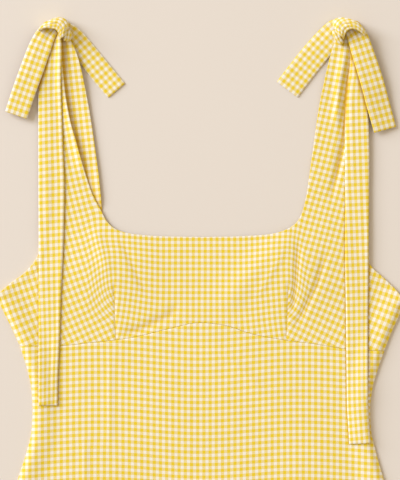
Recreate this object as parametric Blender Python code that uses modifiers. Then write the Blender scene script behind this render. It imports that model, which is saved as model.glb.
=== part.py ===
"""A square neck dress with tied shoulders, laid flat on its back.

The file is in metres with +Z up. +Y runs from the hem to the shoulders, +X to the right as
seen from above, and the underside lies at z = 0. The sizes below are millimetres, and the
tables of the cut are turned into metres where a mesh is made. The origin is at the middle
of the dress's length and width, on the surface that it lies on.
"""

import math
from collections import namedtuple

import bmesh
import bpy
from mathutils import Vector

MM = 0.001

# Driving sizes
LENGTH = 886.8
KNOT_WIDTH = 34.8
KNOT_DEPTH = 24.6
KNOT_HEIGHT = 20.0
CLOTH = 1.2
TIE_CLOTH = 1.5
GAP = 0.3
HEM_CURVE = 14.0
CUP_LOFT = 3.0
DART_GROOVE = 1.0
BACK_NECK_Y = 212.0

# Places that follow from them
TOP_Y = LENGTH / 2
HEM_Y = -LENGTH / 2
KNOT_Y = TOP_Y - KNOT_DEPTH / 2
FRONT_Z = CLOTH + GAP
LEFT, RIGHT = -1, 1

# Mesh density
RUNGS_PER_STATION = 2
INNER_COLUMNS, OUTER_COLUMNS = 5, 4
SKIRT_COLUMNS_PER_STOP, SKIRT_ROWS = 2, 22
HEM_POINTS = 34
BACK_SIDE_POINTS = 26
STRAP_ROWS, STRAP_COLUMNS = 14, 4
LONG_TIE_ROWS, LONG_TIE_COLUMNS = 34, 4
SHORT_TIE_ROWS, SHORT_TIE_COLUMNS = 9, 4
KNOT_SEGMENTS, KNOT_RINGS = 24, 14

# The front bodice is a ladder of rungs from the under-bust seam up to the knot. Each rung
# runs from the inner edge (centre front, then the neckline, then the strap's neck side)
# over the dart and the strap's middle to the outer edge (side seam, armhole, strap).
# X counts outward from the centre front.
Rung = namedtuple("Rung", "inner_x inner_y middle_x middle_y outer_x outer_y")
LEFT_BODICE = (
    Rung(0.0, 131.4, 87.0, 113.7, 185.3, 107.5),
    Rung(0.0, 152.0, 88.0, 134.0, 194.5, 127.5),
    Rung(0.0, 174.0, 88.6, 154.5, 203.5, 145.5),
    Rung(0.0, 196.0, 89.0, 174.5, 208.9, 157.7),
    Rung(0.0, 218.8, 96.0, 190.0, 202.0, 165.5),
    Rung(39.0, 219.8, 106.0, 201.0, 193.5, 173.0),
    Rung(68.0, 222.0, 116.0, 211.0, 183.5, 180.0),
    Rung(85.5, 226.5, 123.0, 220.0, 173.5, 190.0),
    Rung(96.0, 235.0, 128.0, 231.0, 166.0, 203.0),
    Rung(102.5, 247.0, 131.5, 245.0, 162.0, 224.0),
    Rung(110.5, 262.0, 136.0, 262.0, 159.5, 250.0),
    Rung(118.5, 285.0, 139.0, 285.0, 158.2, 280.0),
    Rung(127.0, 315.0, 143.0, 315.0, 157.7, 313.0),
    Rung(134.6, 343.0, 146.5, 343.0, 158.0, 343.0),
    Rung(139.2, 372.0, 149.0, 372.0, 158.8, 372.0),
    Rung(141.5, 398.0, 150.3, 398.0, 159.3, 398.0),
    Rung(142.5, 431.0, 150.0, 431.0, 157.5, 431.0),
)
RIGHT_BODICE = (
    Rung(0.0, 131.4, 87.0, 113.4, 187.4, 102.4),
    Rung(0.0, 152.0, 88.0, 134.0, 195.5, 123.0),
    Rung(0.0, 174.0, 88.6, 154.5, 203.0, 139.5),
    Rung(0.0, 196.0, 88.8, 174.0, 206.8, 152.6),
    Rung(0.0, 218.8, 96.0, 190.0, 201.5, 162.5),
    Rung(39.0, 219.8, 107.0, 201.0, 194.0, 170.5),
    Rung(70.0, 222.0, 117.0, 211.0, 184.5, 179.5),
    Rung(88.0, 227.2, 124.5, 220.0, 176.0, 187.0),
    Rung(98.0, 234.5, 130.0, 231.0, 170.0, 196.5),
    Rung(103.5, 244.5, 134.0, 243.0, 166.5, 212.0),
    Rung(107.5, 260.0, 137.0, 260.0, 164.5, 240.0),
    Rung(111.5, 287.0, 139.0, 285.0, 163.8, 275.0),
    Rung(115.8, 318.0, 141.0, 316.0, 163.8, 310.0),
    Rung(120.0, 348.0, 143.5, 346.0, 163.8, 343.0),
    Rung(124.6, 372.0, 146.0, 371.0, 163.4, 370.0),
    Rung(132.0, 404.0, 148.5, 404.0, 161.8, 404.0),
    Rung(141.5, 431.0, 151.0, 431.0, 160.5, 431.0),
)

# The under-bust seam dips from a soft point at the centre to the side seams.
Seam = namedtuple("Seam", "x y")
SEAM = (
    Seam(-185.3, 107.5),
    Seam(-144.0, 107.9),
    Seam(-112.0, 111.0),
    Seam(-87.0, 113.7),
    Seam(-64.5, 117.4),
    Seam(-34.0, 124.9),
    Seam(0.0, 131.4),
    Seam(22.5, 129.0),
    Seam(54.3, 119.4),
    Seam(87.0, 113.4),
    Seam(116.7, 109.6),
    Seam(147.5, 104.8),
    Seam(187.4, 102.4),
)

# Half widths of the skirt, from the under-bust seam to the hem
Width = namedtuple("Width", "y left right")
WIDTHS = (
    Width(-429.4, 289.0, 289.0),
    Width(-260.0, 249.0, 249.0),
    Width(-163.0, 225.0, 225.0),
    Width(-90.0, 205.5, 205.5),
    Width(-29.0, 187.5, 187.0),
    Width(2.0, 177.6, 178.2),
    Width(21.0, 173.3, 174.0),
    Width(42.0, 172.2, 173.0),
    Width(62.0, 173.4, 175.2),
    Width(83.0, 177.6, 180.8),
    Width(102.4, 183.6, 187.4),
    Width(107.5, 185.3, 189.0),
)

# Soft folds in the flared skirt, each fading out upwards at start_y
Fold = namedtuple("Fold", "top_x hem_x start_y half_width height")
FOLDS = (
    Fold(-150.0, -236.0, 60.0, 20.0, 2.2),
    Fold(-118.0, -160.0, 110.0, 17.0, 1.9),
    Fold(-93.0, -96.0, 70.0, 19.0, 2.6),
    Fold(-18.0, -30.0, 20.0, 24.0, 1.8),
    Fold(46.0, 52.0, 40.0, 20.0, 2.4),
    Fold(104.0, 132.0, 90.0, 19.0, 2.7),
    Fold(150.0, 214.0, 50.0, 22.0, 2.1),
)

# Back straps: neck side and armhole side, X outward
Strap = namedtuple("Strap", "y inner_x outer_x")
LEFT_BACK_STRAP = (
    Strap(BACK_NECK_Y + GAP, 101.0, 163.0),
    Strap(244.0, 101.2, 160.0),
    Strap(277.0, 103.8, 157.0),
    Strap(307.0, 107.7, 154.0),
    Strap(339.0, 112.4, 152.0),
    Strap(371.0, 118.1, 152.0),
    Strap(394.0, 123.1, 152.5),
    Strap(411.0, 128.6, 153.0),
    Strap(430.0, 139.5, 155.0),
)
RIGHT_BACK_STRAP = (
    Strap(BACK_NECK_Y + GAP, 107.0, 163.0),
    Strap(244.0, 109.0, 160.0),
    Strap(277.0, 113.5, 158.0),
    Strap(307.0, 117.5, 156.0),
    Strap(339.0, 121.5, 155.0),
    Strap(371.0, 127.5, 156.0),
    Strap(394.0, 132.5, 157.0),
    Strap(411.0, 136.0, 158.0),
    Strap(430.0, 143.0, 160.0),
)

# Ties follow a middle line from the knot to their square-cut end, X outward
Tie = namedtuple("Tie", "x y half_width")
LEFT_LONG_TIE = (
    Tie(150.5, 431.0, 8.0),
    Tie(152.8, 406.0, 10.6),
    Tie(154.4, 370.0, 11.7),
    Tie(153.7, 318.0, 12.4),
    Tie(152.8, 268.0, 13.2),
    Tie(153.2, 216.0, 12.6),
    Tie(154.6, 155.0, 11.3),
    Tie(155.2, 114.0, 10.6),
    Tie(156.0, 73.0, 9.7),
    Tie(156.1, 47.1, 9.5),
)
RIGHT_LONG_TIE = (
    Tie(152.5, 431.0, 8.0),
    Tie(155.4, 400.0, 10.3),
    Tie(158.9, 359.0, 11.7),
    Tie(159.7, 297.0, 12.3),
    Tie(159.3, 196.0, 11.8),
    Tie(159.4, 138.0, 11.1),
    Tie(159.7, 59.0, 10.6),
    Tie(162.3, 8.0, 10.7),
)

# Short ties also state how high their underside lies
ShortTie = namedtuple("ShortTie", "x y z half_width")
LEFT_OUTER_TIE = (
    ShortTie(150.5, 434.0, 8.4, 7.0),
    ShortTie(158.8, 424.0, 8.6, 10.0),
    ShortTie(165.4, 409.0, 8.8, 11.4),
    ShortTie(173.4, 387.0, 8.8, 11.8),
    ShortTie(181.5, 365.0, 6.6, 11.8),
    ShortTie(188.9, 343.5, 4.8, 11.7),
)
RIGHT_OUTER_TIE = (
    ShortTie(153.0, 433.0, 8.4, 8.0),
    ShortTie(159.0, 424.0, 8.6, 10.2),
    ShortTie(165.0, 407.0, 8.8, 11.2),
    ShortTie(174.2, 378.5, 8.8, 11.8),
    ShortTie(181.9, 351.0, 6.4, 11.9),
    ShortTie(188.2, 328.6, 4.6, 11.7),
)
LEFT_INNER_TIE = (
    ShortTie(148.0, 435.0, 1.4, 6.5),
    ShortTie(139.5, 430.0, 0.9, 9.6),
    ShortTie(130.6, 422.0, 0.5, 11.2),
    ShortTie(113.5, 401.8, 0.0, 11.6),
    ShortTie(100.0, 385.2, 0.0, 11.6),
    ShortTie(86.2, 369.0, 0.0, 11.3),
)
RIGHT_INNER_TIE = (
    ShortTie(147.5, 436.0, 1.4, 7.5),
    ShortTie(138.4, 429.6, 0.9, 12.4),
    ShortTie(125.0, 415.8, 0.4, 13.2),
    ShortTie(112.5, 401.2, 0.0, 13.3),
    ShortTie(100.0, 385.3, 0.0, 13.3),
    ShortTie(88.3, 369.9, 0.0, 13.3),
)

KNOT_X = {LEFT: 149.5, RIGHT: 151.5}
KNOT_WRAP_TURN = {LEFT: -28.0, RIGHT: 24.0}
KNOT_WRAP_RISE = 1.3
KNOT_WRAP_HALF, KNOT_WRAP_BLEND = 0.55, 0.08
KNOT_WAIST = 0.48

# Cups: the darted cloth stands up softly round each dart's upper end
CUP_X, CUP_Y = 95.0, 186.0
CUP_ACROSS, CUP_ALONG = 46.0, 36.0
CUP_FOOT_Y, CUP_FULL_Y = 95.0, 130.0
DART_X, DART_TIP_Y, DART_HALF = 88.0, 174.0, 5.0
DART_OPEN_BELOW, DART_OPEN_ABOVE = 12.0, 6.0

# Layers rise together to the knot's middle height, from this level up
RISE_FROM_Y, RISE_TO_Y, RISE = 345.0, 402.0, 3.1

# How far down the skirt, as a share of it, the seam's curve fades and the hem's curve starts
SEAM_FADE, HEM_START = 0.45, 0.5
FOLD_FULL = 0.9

# The back's edge follows the front's outer edge between these levels
BACK_EDGE_FROM_Y, BACK_EDGE_TO_Y = WIDTHS[-1].y + 4.0, BACK_NECK_Y - 2.0

SEAM_FADE_RUNGS = 4.0
TIE_TURN_STEP = 0.05
SHARP_ANGLE = 40.0

YELLOW_GINGHAM = (242, 221, 147)
KNOT_GINGHAM = (236, 210, 124)


def clear_scene():
    for thing in list(bpy.data.objects):
        bpy.data.objects.remove(thing, do_unlink=True)


def collection_named(name):
    made = bpy.data.collections.new(name)
    bpy.context.scene.collection.children.link(made)
    return made


def linear(level):
    """A screen level from 0 to 255 as a linear colour value."""
    part = level / 255
    return part / 12.92 if part <= 0.04045 else ((part + 0.055) / 1.055) ** 2.4


def cotton(name, colour):
    material = bpy.data.materials.new(name)
    material.use_nodes = True
    shader = material.node_tree.nodes["Principled BSDF"]
    shader.inputs["Base Color"].default_value = (*(linear(level) for level in colour), 1.0)
    shader.inputs["Roughness"].default_value = 0.9
    shader.inputs["Metallic"].default_value = 0.0
    return material


def ease(low, high, value):
    """0 below low, 1 above high, and a soft step between."""
    part = min(max((value - low) / (high - low), 0.0), 1.0)
    return part * part * (3 - 2 * part)


def bell(distance, half_width):
    return math.exp(-((distance / half_width) ** 2))


def curve_through(places, values, place):
    """A smooth curve through (place, value) pairs that never overshoots them."""
    last = len(places) - 1
    steps = [places[k + 1] - places[k] for k in range(last)]
    slopes = [(values[k + 1] - values[k]) / steps[k] for k in range(last)]
    k = max(index for index in range(last) if index == 0 or places[index] <= place)

    def slope_at(index):
        if index in (0, last):
            return slopes[min(index, last - 1)]
        before, after = slopes[index - 1], slopes[index]
        return 0.0 if before * after <= 0 else 2 * before * after / (before + after)

    part = (place - places[k]) / steps[k]
    start, end = values[k], values[k + 1]
    start_slope, end_slope = slope_at(k) * steps[k], slope_at(k + 1) * steps[k]
    rest = 1 - part
    return (
        start * rest * rest * (1 + 2 * part)
        + end * part * part * (3 - 2 * part)
        + start_slope * part * rest * rest
        - end_slope * part * part * rest
    )


def row_at(table, place):
    """All columns of an evenly counted table, read between its rows."""
    counts = range(len(table))
    return type(table[0])(
        *(curve_through(counts, column, place) for column in zip(*table))
    )


def column_at(table, key, name, place):
    """One named column of a table, read against another one."""
    places = [getattr(row, key) for row in table]
    return curve_through(places, [getattr(row, name) for row in table], place)


def seam_curve(x):
    return column_at(SEAM, "x", "y", min(max(x, SEAM[0].x), SEAM[-1].x))


def seam_stops():
    """Places across the under-bust seam where both its cloths have a corner."""
    sides = []
    for table in (LEFT_BODICE, RIGHT_BODICE):
        middle, outer = table[0].middle_x, table[0].outer_x
        inner_part = [middle * step / INNER_COLUMNS for step in range(INNER_COLUMNS)]
        outer_part = [
            middle + (outer - middle) * step / OUTER_COLUMNS for step in range(OUTER_COLUMNS + 1)
        ]
        sides.append(inner_part + outer_part)
    left, right = sides
    return [-x for x in reversed(left[1:])] + right


STOPS = seam_stops()
STOP_LEVELS = [seam_curve(x) for x in STOPS]


def seam_y(x):
    """The seam as both cloths follow it, straight from stop to stop."""
    k = max(index for index in range(len(STOPS) - 1) if index == 0 or STOPS[index] <= x)
    part = (x - STOPS[k]) / (STOPS[k + 1] - STOPS[k])
    return STOP_LEVELS[k] + (STOP_LEVELS[k + 1] - STOP_LEVELS[k]) * part


def half_width(side, y):
    name = "left" if side == LEFT else "right"
    return column_at(WIDTHS, "y", name, min(max(y, WIDTHS[0].y), WIDTHS[-1].y))


def hem_rise(x):
    """A flared hem curves up towards its sides."""
    return HEM_CURVE * (x / WIDTHS[0].left) ** 2


def strap_rise(y):
    return RISE * ease(RISE_FROM_Y, RISE_TO_Y, y)


def cup_height(x, y):
    across = abs(x)
    loft = CUP_LOFT * bell(across - CUP_X, CUP_ACROSS) * bell(y - CUP_Y, CUP_ALONG)
    groove = DART_GROOVE * bell(across - DART_X, DART_HALF)
    stitched = 1 - ease(DART_TIP_Y - DART_OPEN_BELOW, DART_TIP_Y + DART_OPEN_ABOVE, y)
    return max(loft - groove * stitched, 0.0) * ease(CUP_FOOT_Y, CUP_FULL_Y, y)


def fold_height(x, y):
    height = 0.0
    for fold in FOLDS:
        if y >= fold.start_y:
            continue
        down = (fold.start_y - y) / (fold.start_y - HEM_Y)
        middle = fold.top_x + (fold.hem_x - fold.top_x) * down
        spread = fold.half_width * (1 + down)
        height += fold.height * ease(0, FOLD_FULL, down) * bell(x - middle, spread)
    return height


def front_underside(x, y):
    """Height of the front's inner face over the surface that the dress lies on."""
    return FRONT_Z + cup_height(x, y) + fold_height(x, y) + strap_rise(y)


def on_front(x, y):
    return front_underside(x, y) + CLOTH + GAP


def finish(mesh, name, material, collection):
    mesh.materials.append(material)
    mesh.shade_smooth()
    mesh.set_sharp_from_angle(angle=math.radians(SHARP_ANGLE))
    thing = bpy.data.objects.new(name, mesh)
    collection.objects.link(thing)
    return thing


def cloth_sheet(name, grids, thickness, material, collection):
    """Grids of points, each a list of rows, as one sheet with its thickness upwards."""
    mesh = bpy.data.meshes.new(name)
    shape = bmesh.new()
    for grid in grids:
        corners = [[shape.verts.new(Vector(point) * MM) for point in row] for row in grid]
        for lower, upper in zip(corners, corners[1:]):
            for a, b, c, d in zip(lower, lower[1:], upper[1:], upper):
                shape.faces.new((a, b, c, d))
    bmesh.ops.remove_doubles(shape, verts=shape.verts, dist=0.00001)
    shape.normal_update()
    downward = [face for face in shape.faces if face.normal.z < 0]
    bmesh.ops.reverse_faces(shape, faces=downward)
    shape.to_mesh(mesh)
    shape.free()
    thing = finish(mesh, name, material, collection)
    wall = thing.modifiers.new("Cloth", "SOLIDIFY")
    wall.thickness = thickness * MM
    wall.offset = 1.0
    return thing


def spread(first, second, count):
    """Evenly spaced points from first towards second, with second left out."""
    return [
        tuple(a + (b - a) * step / count for a, b in zip(first, second))
        for step in range(count)
    ]


def bodice_rows(side, table):
    """Rungs of the front bodice, from the seam up."""
    rows = []
    seam_row = []
    for step in range((len(table) - 1) * RUNGS_PER_STATION + 1):
        place = step / RUNGS_PER_STATION
        rung = row_at(table, place)
        inner = (rung.inner_x, rung.inner_y)
        middle = (rung.middle_x, rung.middle_y)
        outer = (rung.outer_x, rung.outer_y)
        flat = spread(inner, middle, INNER_COLUMNS) + spread(middle, outer, OUTER_COLUMNS)
        flat.append(outer)
        if not seam_row:
            seam_row = [seam_y(side * x) + GAP / 2 - y for x, y in flat]
        fade = 1 - ease(0, SEAM_FADE_RUNGS, place)
        placed = [(side * x, y + fade * dip) for (x, y), dip in zip(flat, seam_row)]
        rows.append([(x, y, front_underside(x, y)) for x, y in placed])
    return rows


def skirt_shares():
    """Columns of the skirt as shares of its half width, from -1 at the left to 1."""
    shares = [x / (STOPS[-1] if x > 0 else -STOPS[0]) for x in STOPS]
    columns = []
    for first, second in zip(shares, shares[1:]):
        columns += [x for (x,) in spread((first,), (second,), SKIRT_COLUMNS_PER_STOP)]
    return columns + [1.0]


def skirt_point(share, down):
    """A point of the front skirt: share across it, and down from the seam to the hem."""
    top = SEAM[0].y + (SEAM[-1].y - SEAM[0].y) * (share + 1) / 2
    level = top + (WIDTHS[0].y - top) * down
    x = share * half_width(LEFT if share < 0 else RIGHT, level)
    from_seam = (seam_y(x) - GAP / 2 - top) * (1 - ease(0, SEAM_FADE, down))
    from_hem = (hem_rise(x) - HEM_CURVE) * ease(HEM_START, 1, down)
    y = level + from_seam + from_hem
    return x, y, front_underside(x, y)


def skirt_rows():
    shares = skirt_shares()
    return [
        [skirt_point(share, step / SKIRT_ROWS) for share in shares]
        for step in range(SKIRT_ROWS + 1)
    ]


def strap_rows(side, table):
    rows = []
    for step in range(STRAP_ROWS + 1):
        strap = row_at(table, (len(table) - 1) * step / STRAP_ROWS)
        edges = spread((strap.inner_x,), (strap.outer_x,), STRAP_COLUMNS)
        edges.append((strap.outer_x,))
        rows.append([(side * x, strap.y, strap_rise(strap.y)) for (x,) in edges])
    return rows


def tie_rows(side, table, count, columns, height_at):
    """Rows square across a tie's middle line. height_at takes x, y and the row's station."""
    rows = []
    last = len(table) - 1
    for step in range(count + 1):
        place = last * step / count
        here = row_at(table, place)
        before = row_at(table, max(place - TIE_TURN_STEP, 0))
        after = row_at(table, min(place + TIE_TURN_STEP, last))
        along = Vector((side * (after.x - before.x), after.y - before.y)).normalized()
        across = Vector((-along.y, along.x))
        row = []
        for column in range(columns + 1):
            reach = here.half_width * (2 * column / columns - 1)
            x = side * here.x + across.x * reach
            y = here.y + across.y * reach
            row.append((x, y, height_at(x, y, here)))
        rows.append(row)
    return rows


def knot_radius_factor(direction, side):
    """A raised wrap runs over the knot, square to the way that it is turned."""
    turn = math.radians(KNOT_WRAP_TURN[side])
    off = abs(direction.x * math.cos(turn) + direction.y * math.sin(turn))
    wrap = 1 - ease(KNOT_WRAP_HALF - KNOT_WRAP_BLEND, KNOT_WRAP_HALF + KNOT_WRAP_BLEND, off)
    return 1 + (KNOT_WRAP_RISE * wrap - KNOT_WRAP_RISE) / (KNOT_DEPTH / 2)


def knot(name, side, swell, material, collection):
    """The knotted ties, a lump that rests on the surface. swell makes a cutter of it."""
    mesh = bpy.data.meshes.new(name)
    shape = bmesh.new()
    bmesh.ops.create_uvsphere(
        shape, u_segments=KNOT_SEGMENTS, v_segments=KNOT_RINGS, radius=1.0
    )
    middle_z = KNOT_HEIGHT * KNOT_WAIST
    for vertex in shape.verts:
        direction = vertex.co.normalized()
        factor = knot_radius_factor(direction, side)
        x = side * KNOT_X[side] + direction.x * (KNOT_WIDTH / 2 + swell)
        y = KNOT_Y + direction.y * (KNOT_DEPTH / 2 * factor + swell)
        z = middle_z + direction.z * ((KNOT_HEIGHT - middle_z) * factor + swell)
        vertex.co = Vector((x, y, max(z, 0.0) if not swell else z)) * MM
    shape.to_mesh(mesh)
    shape.free()
    return finish(mesh, name, material, collection)


def back_panel(material, collection):
    """The plain back, a flat outline from the hem round the sides to the straps' roots."""
    levels = [
        WIDTHS[0].y + (WIDTHS[-1].y - WIDTHS[0].y) * step / BACK_SIDE_POINTS
        for step in range(BACK_SIDE_POINTS + 1)
    ]
    outline = []
    for side, table in ((RIGHT, RIGHT_BODICE), (LEFT, LEFT_BODICE)):
        edge = [(side * half_width(side, y), y) for y in levels]
        steps = range(1, (len(table) - 1) * RUNGS_PER_STATION)
        rungs = [row_at(table, step / RUNGS_PER_STATION) for step in steps]
        edge += [
            (side * rung.outer_x, rung.outer_y)
            for rung in rungs
            if BACK_EDGE_FROM_Y < rung.outer_y < BACK_EDGE_TO_Y
        ]
        edge.append((side * LEFT_BACK_STRAP[0].outer_x, BACK_NECK_Y))
        outline += edge if side == RIGHT else reversed(edge)
    for step in range(1, HEM_POINTS):
        x = WIDTHS[0].left * (2 * step / HEM_POINTS - 1)
        outline.append((x, HEM_Y + hem_rise(x)))
    data = bpy.data.curves.new("back_panel", "CURVE")
    data.dimensions = "2D"
    data.fill_mode = "BOTH"
    data.extrude = CLOTH / 2 * MM
    spline = data.splines.new("POLY")
    spline.points.add(len(outline) - 1)
    for point, (x, y) in zip(spline.points, outline):
        point.co = (x * MM, y * MM, 0.0, 1.0)
    spline.use_cyclic_u = True
    data.materials.append(material)
    panel = bpy.data.objects.new("back_panel", data)
    panel.location = (0.0, 0.0, CLOTH / 2 * MM)
    collection.objects.link(panel)
    return panel


def stop_at_knots(piece, cutters):
    """Leaves the seam gap between a piece and the knots that it runs into."""
    for cutter in cutters:
        cut = piece.modifiers.new("Stop at " + cutter.name, "BOOLEAN")
        cut.operation = "DIFFERENCE"
        cut.object = cutter


def knot_cutters(collection, material):
    cutters = {}
    for side, word in ((LEFT, "left"), (RIGHT, "right")):
        cutter = knot("knot_clearance_" + word, side, GAP, material, collection)
        cutter.hide_render = True
        cutter.display_type = "WIRE"
        cutters[side] = cutter
    return cutters


def front_pieces(material, cutters, collection):
    grids = [bodice_rows(LEFT, LEFT_BODICE), bodice_rows(RIGHT, RIGHT_BODICE)]
    bodice = cloth_sheet("front_bodice", grids, CLOTH, material, collection)
    stop_at_knots(bodice, cutters.values())
    cloth_sheet("front_skirt", [skirt_rows()], CLOTH, material, collection)


def shoulder(side, word, tables, materials, cutters, collection):
    """Back strap, ties and knot of one shoulder, from the surface up."""
    cloth, knotted = materials
    strap, long_tie, outer_tie, inner_tie = tables

    def stated(x, y, here):
        return here.z

    def laid(x, y, here):
        return on_front(x, y)

    straps = cloth_sheet(
        "back_strap_" + word, [strap_rows(side, strap)], CLOTH, cloth, collection
    )
    hanging = cloth_sheet(
        "long_tie_" + word,
        [tie_rows(side, long_tie, LONG_TIE_ROWS, LONG_TIE_COLUMNS, laid)],
        TIE_CLOTH,
        cloth,
        collection,
    )
    short = [
        cloth_sheet(
            "short_tie_" + place + "_" + word,
            [tie_rows(side, table, SHORT_TIE_ROWS, SHORT_TIE_COLUMNS, stated)],
            TIE_CLOTH,
            cloth,
            collection,
        )
        for place, table in (("outer", outer_tie), ("inner", inner_tie))
    ]
    for piece in (straps, hanging, *short):
        stop_at_knots(piece, [cutters[side]])
    knot("knot_" + word, side, 0.0, knotted, collection)


def build():
    clear_scene()
    dress = collection_named("Square neck dress")
    helpers = collection_named("Knot clearances")
    gingham = cotton("yellow gingham", YELLOW_GINGHAM)
    knotted = cotton("yellow gingham, knotted", KNOT_GINGHAM)
    cutters = knot_cutters(helpers, knotted)
    back_panel(gingham, dress)
    front_pieces(gingham, cutters, dress)
    sides = (
        (LEFT, "left", (LEFT_BACK_STRAP, LEFT_LONG_TIE, LEFT_OUTER_TIE, LEFT_INNER_TIE)),
        (RIGHT, "right", (RIGHT_BACK_STRAP, RIGHT_LONG_TIE, RIGHT_OUTER_TIE, RIGHT_INNER_TIE)),
    )
    for side, word, tables in sides:
        shoulder(side, word, tables, (gingham, knotted), cutters, dress)


build()
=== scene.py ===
"""The looks of a yellow gingham square neck dress with tied shoulders, laid flat on its back.

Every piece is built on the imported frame: metres, +Z up, +Y from the hem to the shoulders.
The tables of the cut are in millimetres, as they are in the part's own source.
"""

import math
from collections import namedtuple

import bmesh
import bpy
import numpy as np
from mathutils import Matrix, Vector
from mathutils.geometry import delaunay_2d_cdt


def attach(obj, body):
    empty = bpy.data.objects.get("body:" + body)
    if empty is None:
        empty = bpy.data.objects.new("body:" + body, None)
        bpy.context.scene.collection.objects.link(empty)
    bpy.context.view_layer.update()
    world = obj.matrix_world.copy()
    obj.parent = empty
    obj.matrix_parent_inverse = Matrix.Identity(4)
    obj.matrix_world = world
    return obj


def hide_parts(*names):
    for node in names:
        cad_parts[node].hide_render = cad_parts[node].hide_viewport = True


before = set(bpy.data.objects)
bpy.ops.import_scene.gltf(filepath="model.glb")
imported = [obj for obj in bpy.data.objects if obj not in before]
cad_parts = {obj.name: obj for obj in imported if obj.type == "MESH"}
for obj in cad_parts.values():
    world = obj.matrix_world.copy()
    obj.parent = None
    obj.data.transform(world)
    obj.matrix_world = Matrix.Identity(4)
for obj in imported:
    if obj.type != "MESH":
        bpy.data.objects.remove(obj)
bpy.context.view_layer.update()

MM = 0.001
LEFT, RIGHT = -1, 1
SIDE_WORDS = {LEFT: "left", RIGHT: "right"}


def rows_of(kind, *values):
    """A table whose rows hold their values under the kind's names."""
    return tuple(kind(*row) for row in values)


# Driving sizes of the dress
LENGTH = 886.8
KNOT_WIDTH = 34.8
KNOT_DEPTH = 24.6
CLOTH = 1.2
TIE_CLOTH = 1.6
GAP = 0.3
SEAM_GAP = 0.06
HEM_CURVE = 14.0
BACK_NECK_Y = 212.0

HEM_Y = -LENGTH / 2
KNOT_Y = LENGTH / 2 - KNOT_DEPTH / 2
KNOT_X = {LEFT: 149.5, RIGHT: 151.5}
FRONT_Z = CLOTH + GAP

# Cups, darts and the rise of all layers to the knots
CUP_LOFT = 3.0
CUP_X, CUP_Y = 95.0, 186.0
CUP_ACROSS, CUP_ALONG = 46.0, 36.0
CUP_EASE = (95.0, 130.0)
DART_TIP_Y = 174.0
SEAM_RIDGE, SEAM_RIDGE_AT, SEAM_RIDGE_HALF = 0.5, 1.8, 1.1
FACING, FACING_WIDTH, FACING_EDGE = 0.25, 6.0, 0.6
NECK_CURL, NECK_CURL_WIDTH, NECK_CURL_FROM_Y, NECK_CURL_FULL_Y = 3.2, 6.0, 272.0, 305.0
SIDE_ROLL, ROLL_RISE, ROLL_FALL = 2.6, 6.0, 30.0
DART_DEPTH, DART_HALF, DART_LINE = 0.45, 1.1, 0.4
DART_TAPER, DART_OVERRUN = 6.0, 1.0
RISE_FROM_Y, RISE_TO_Y, RISE = 345.0, 402.0, 3.1

# Mesh density
OUTLINE_STEP = 1.8
BODICE_STEP = 1.9
SKIRT_STEP = 2.9
UNDERSIDE_STEP = 9.0
EDGE_RINGS = (0.12, 0.35, 0.9)
EDGE_ROUNDING = 0.38
EDGE_SLACK = 0.01
# Shade painted along the cut edges of panels, straps and ties
EDGE_PAINTED_SHADE = 0.6
TIE_STEP = 1.6
TIE_COLUMNS = 21
TIE_ROUNDING = 1.3
TIE_END_STEPS = (0.0, 0.25, 0.7, 1.4)
TIE_LINE_POINTS, TIE_EDGE_POINTS = 400, 40
STRAP_LINE_POINTS, STRAP_COLUMNS = 220, 31
LINE_STEPS = (-1.5, -0.7, 0.0, 0.7, 1.5)
EDGE_POINTS, SEAM_POINTS, SIDE_POINTS, HEM_POINTS = 300, 200, 240, 300
ROLL_LEVELS, EDGE_SKIP = 60, 6
BACK_OUTLINE_STEP = 2.7
TIE_EDGE_TOP_Y = {LEFT: 378.0, RIGHT: 421.0}
SEAM_CLEAR = 2.4
UNDERARM_CLEAR, BACK_NECK_CLEAR = 4.0, 2.0

# The photograph's frame
PHOTO_WIDTH, PHOTO_HEIGHT = 400, 480
MM_PER_PIXEL = 1.024
CENTRE_LINE_PIXEL = 201.0
ORIGIN_ROW_PIXEL = 451.0
LENS = 150.0
SENSOR = 36.0

# The gingham, its lengths in metres
CHECK = 0.00635
THREAD = 0.00036
THREAD_CROSSING, THREAD_BLUR, THREAD_BUMP = 0.3, 0.4, 0.00005
CHECK_BLUR = 0.3
HALF_TONE_POWER = 0.62
SLUB, SLUB_WAYS = 0.1, ((2600.0, 60.0, 1.0), (60.0, 2600.0, 1.0))
PANEL_RUMPLE, TIE_RUMPLE = 0.05, 0.07
RUMPLE_BROAD, RUMPLE_FINE = (16.0, 3.0, 0.55), (70.0, 2.0, 0.5)
RUMPLE_FINE_SHARE, RUMPLE_BUMP = 0.35, 0.0012

# The front bodice as rungs from the under-bust seam up to the knot, X outward
Rung = namedtuple("Rung", "inner_x inner_y middle_x middle_y outer_x outer_y")
LEFT_BODICE = rows_of(
    Rung,
    (0, 131.4, 87, 113.7, 185.3, 107.5),
    (0, 152, 88, 134, 194.5, 127.5),
    (0, 174, 88.6, 154.5, 203.5, 145.5),
    (0, 196, 89, 174.5, 208.9, 157.7),
    (0, 218.8, 96, 190, 202, 165.5),
    (39, 219.8, 106, 201, 193.5, 173),
    (68, 222, 116, 211, 183.5, 180),
    (85.5, 226.5, 123, 220, 173.5, 190),
    (96, 235, 128, 231, 166, 203),
    (102.5, 247, 131.5, 245, 162, 224),
    (110.5, 262, 136, 262, 159.5, 250),
    (118.5, 285, 139, 285, 158.2, 280),
    (127, 315, 143, 315, 157.7, 313),
    (134.6, 343, 146.5, 343, 158, 343),
    (139.2, 372, 149, 372, 158.8, 372),
    (141.5, 398, 150.3, 398, 159.3, 398),
    (142.5, 431, 150, 431, 157.5, 431),
)
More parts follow.
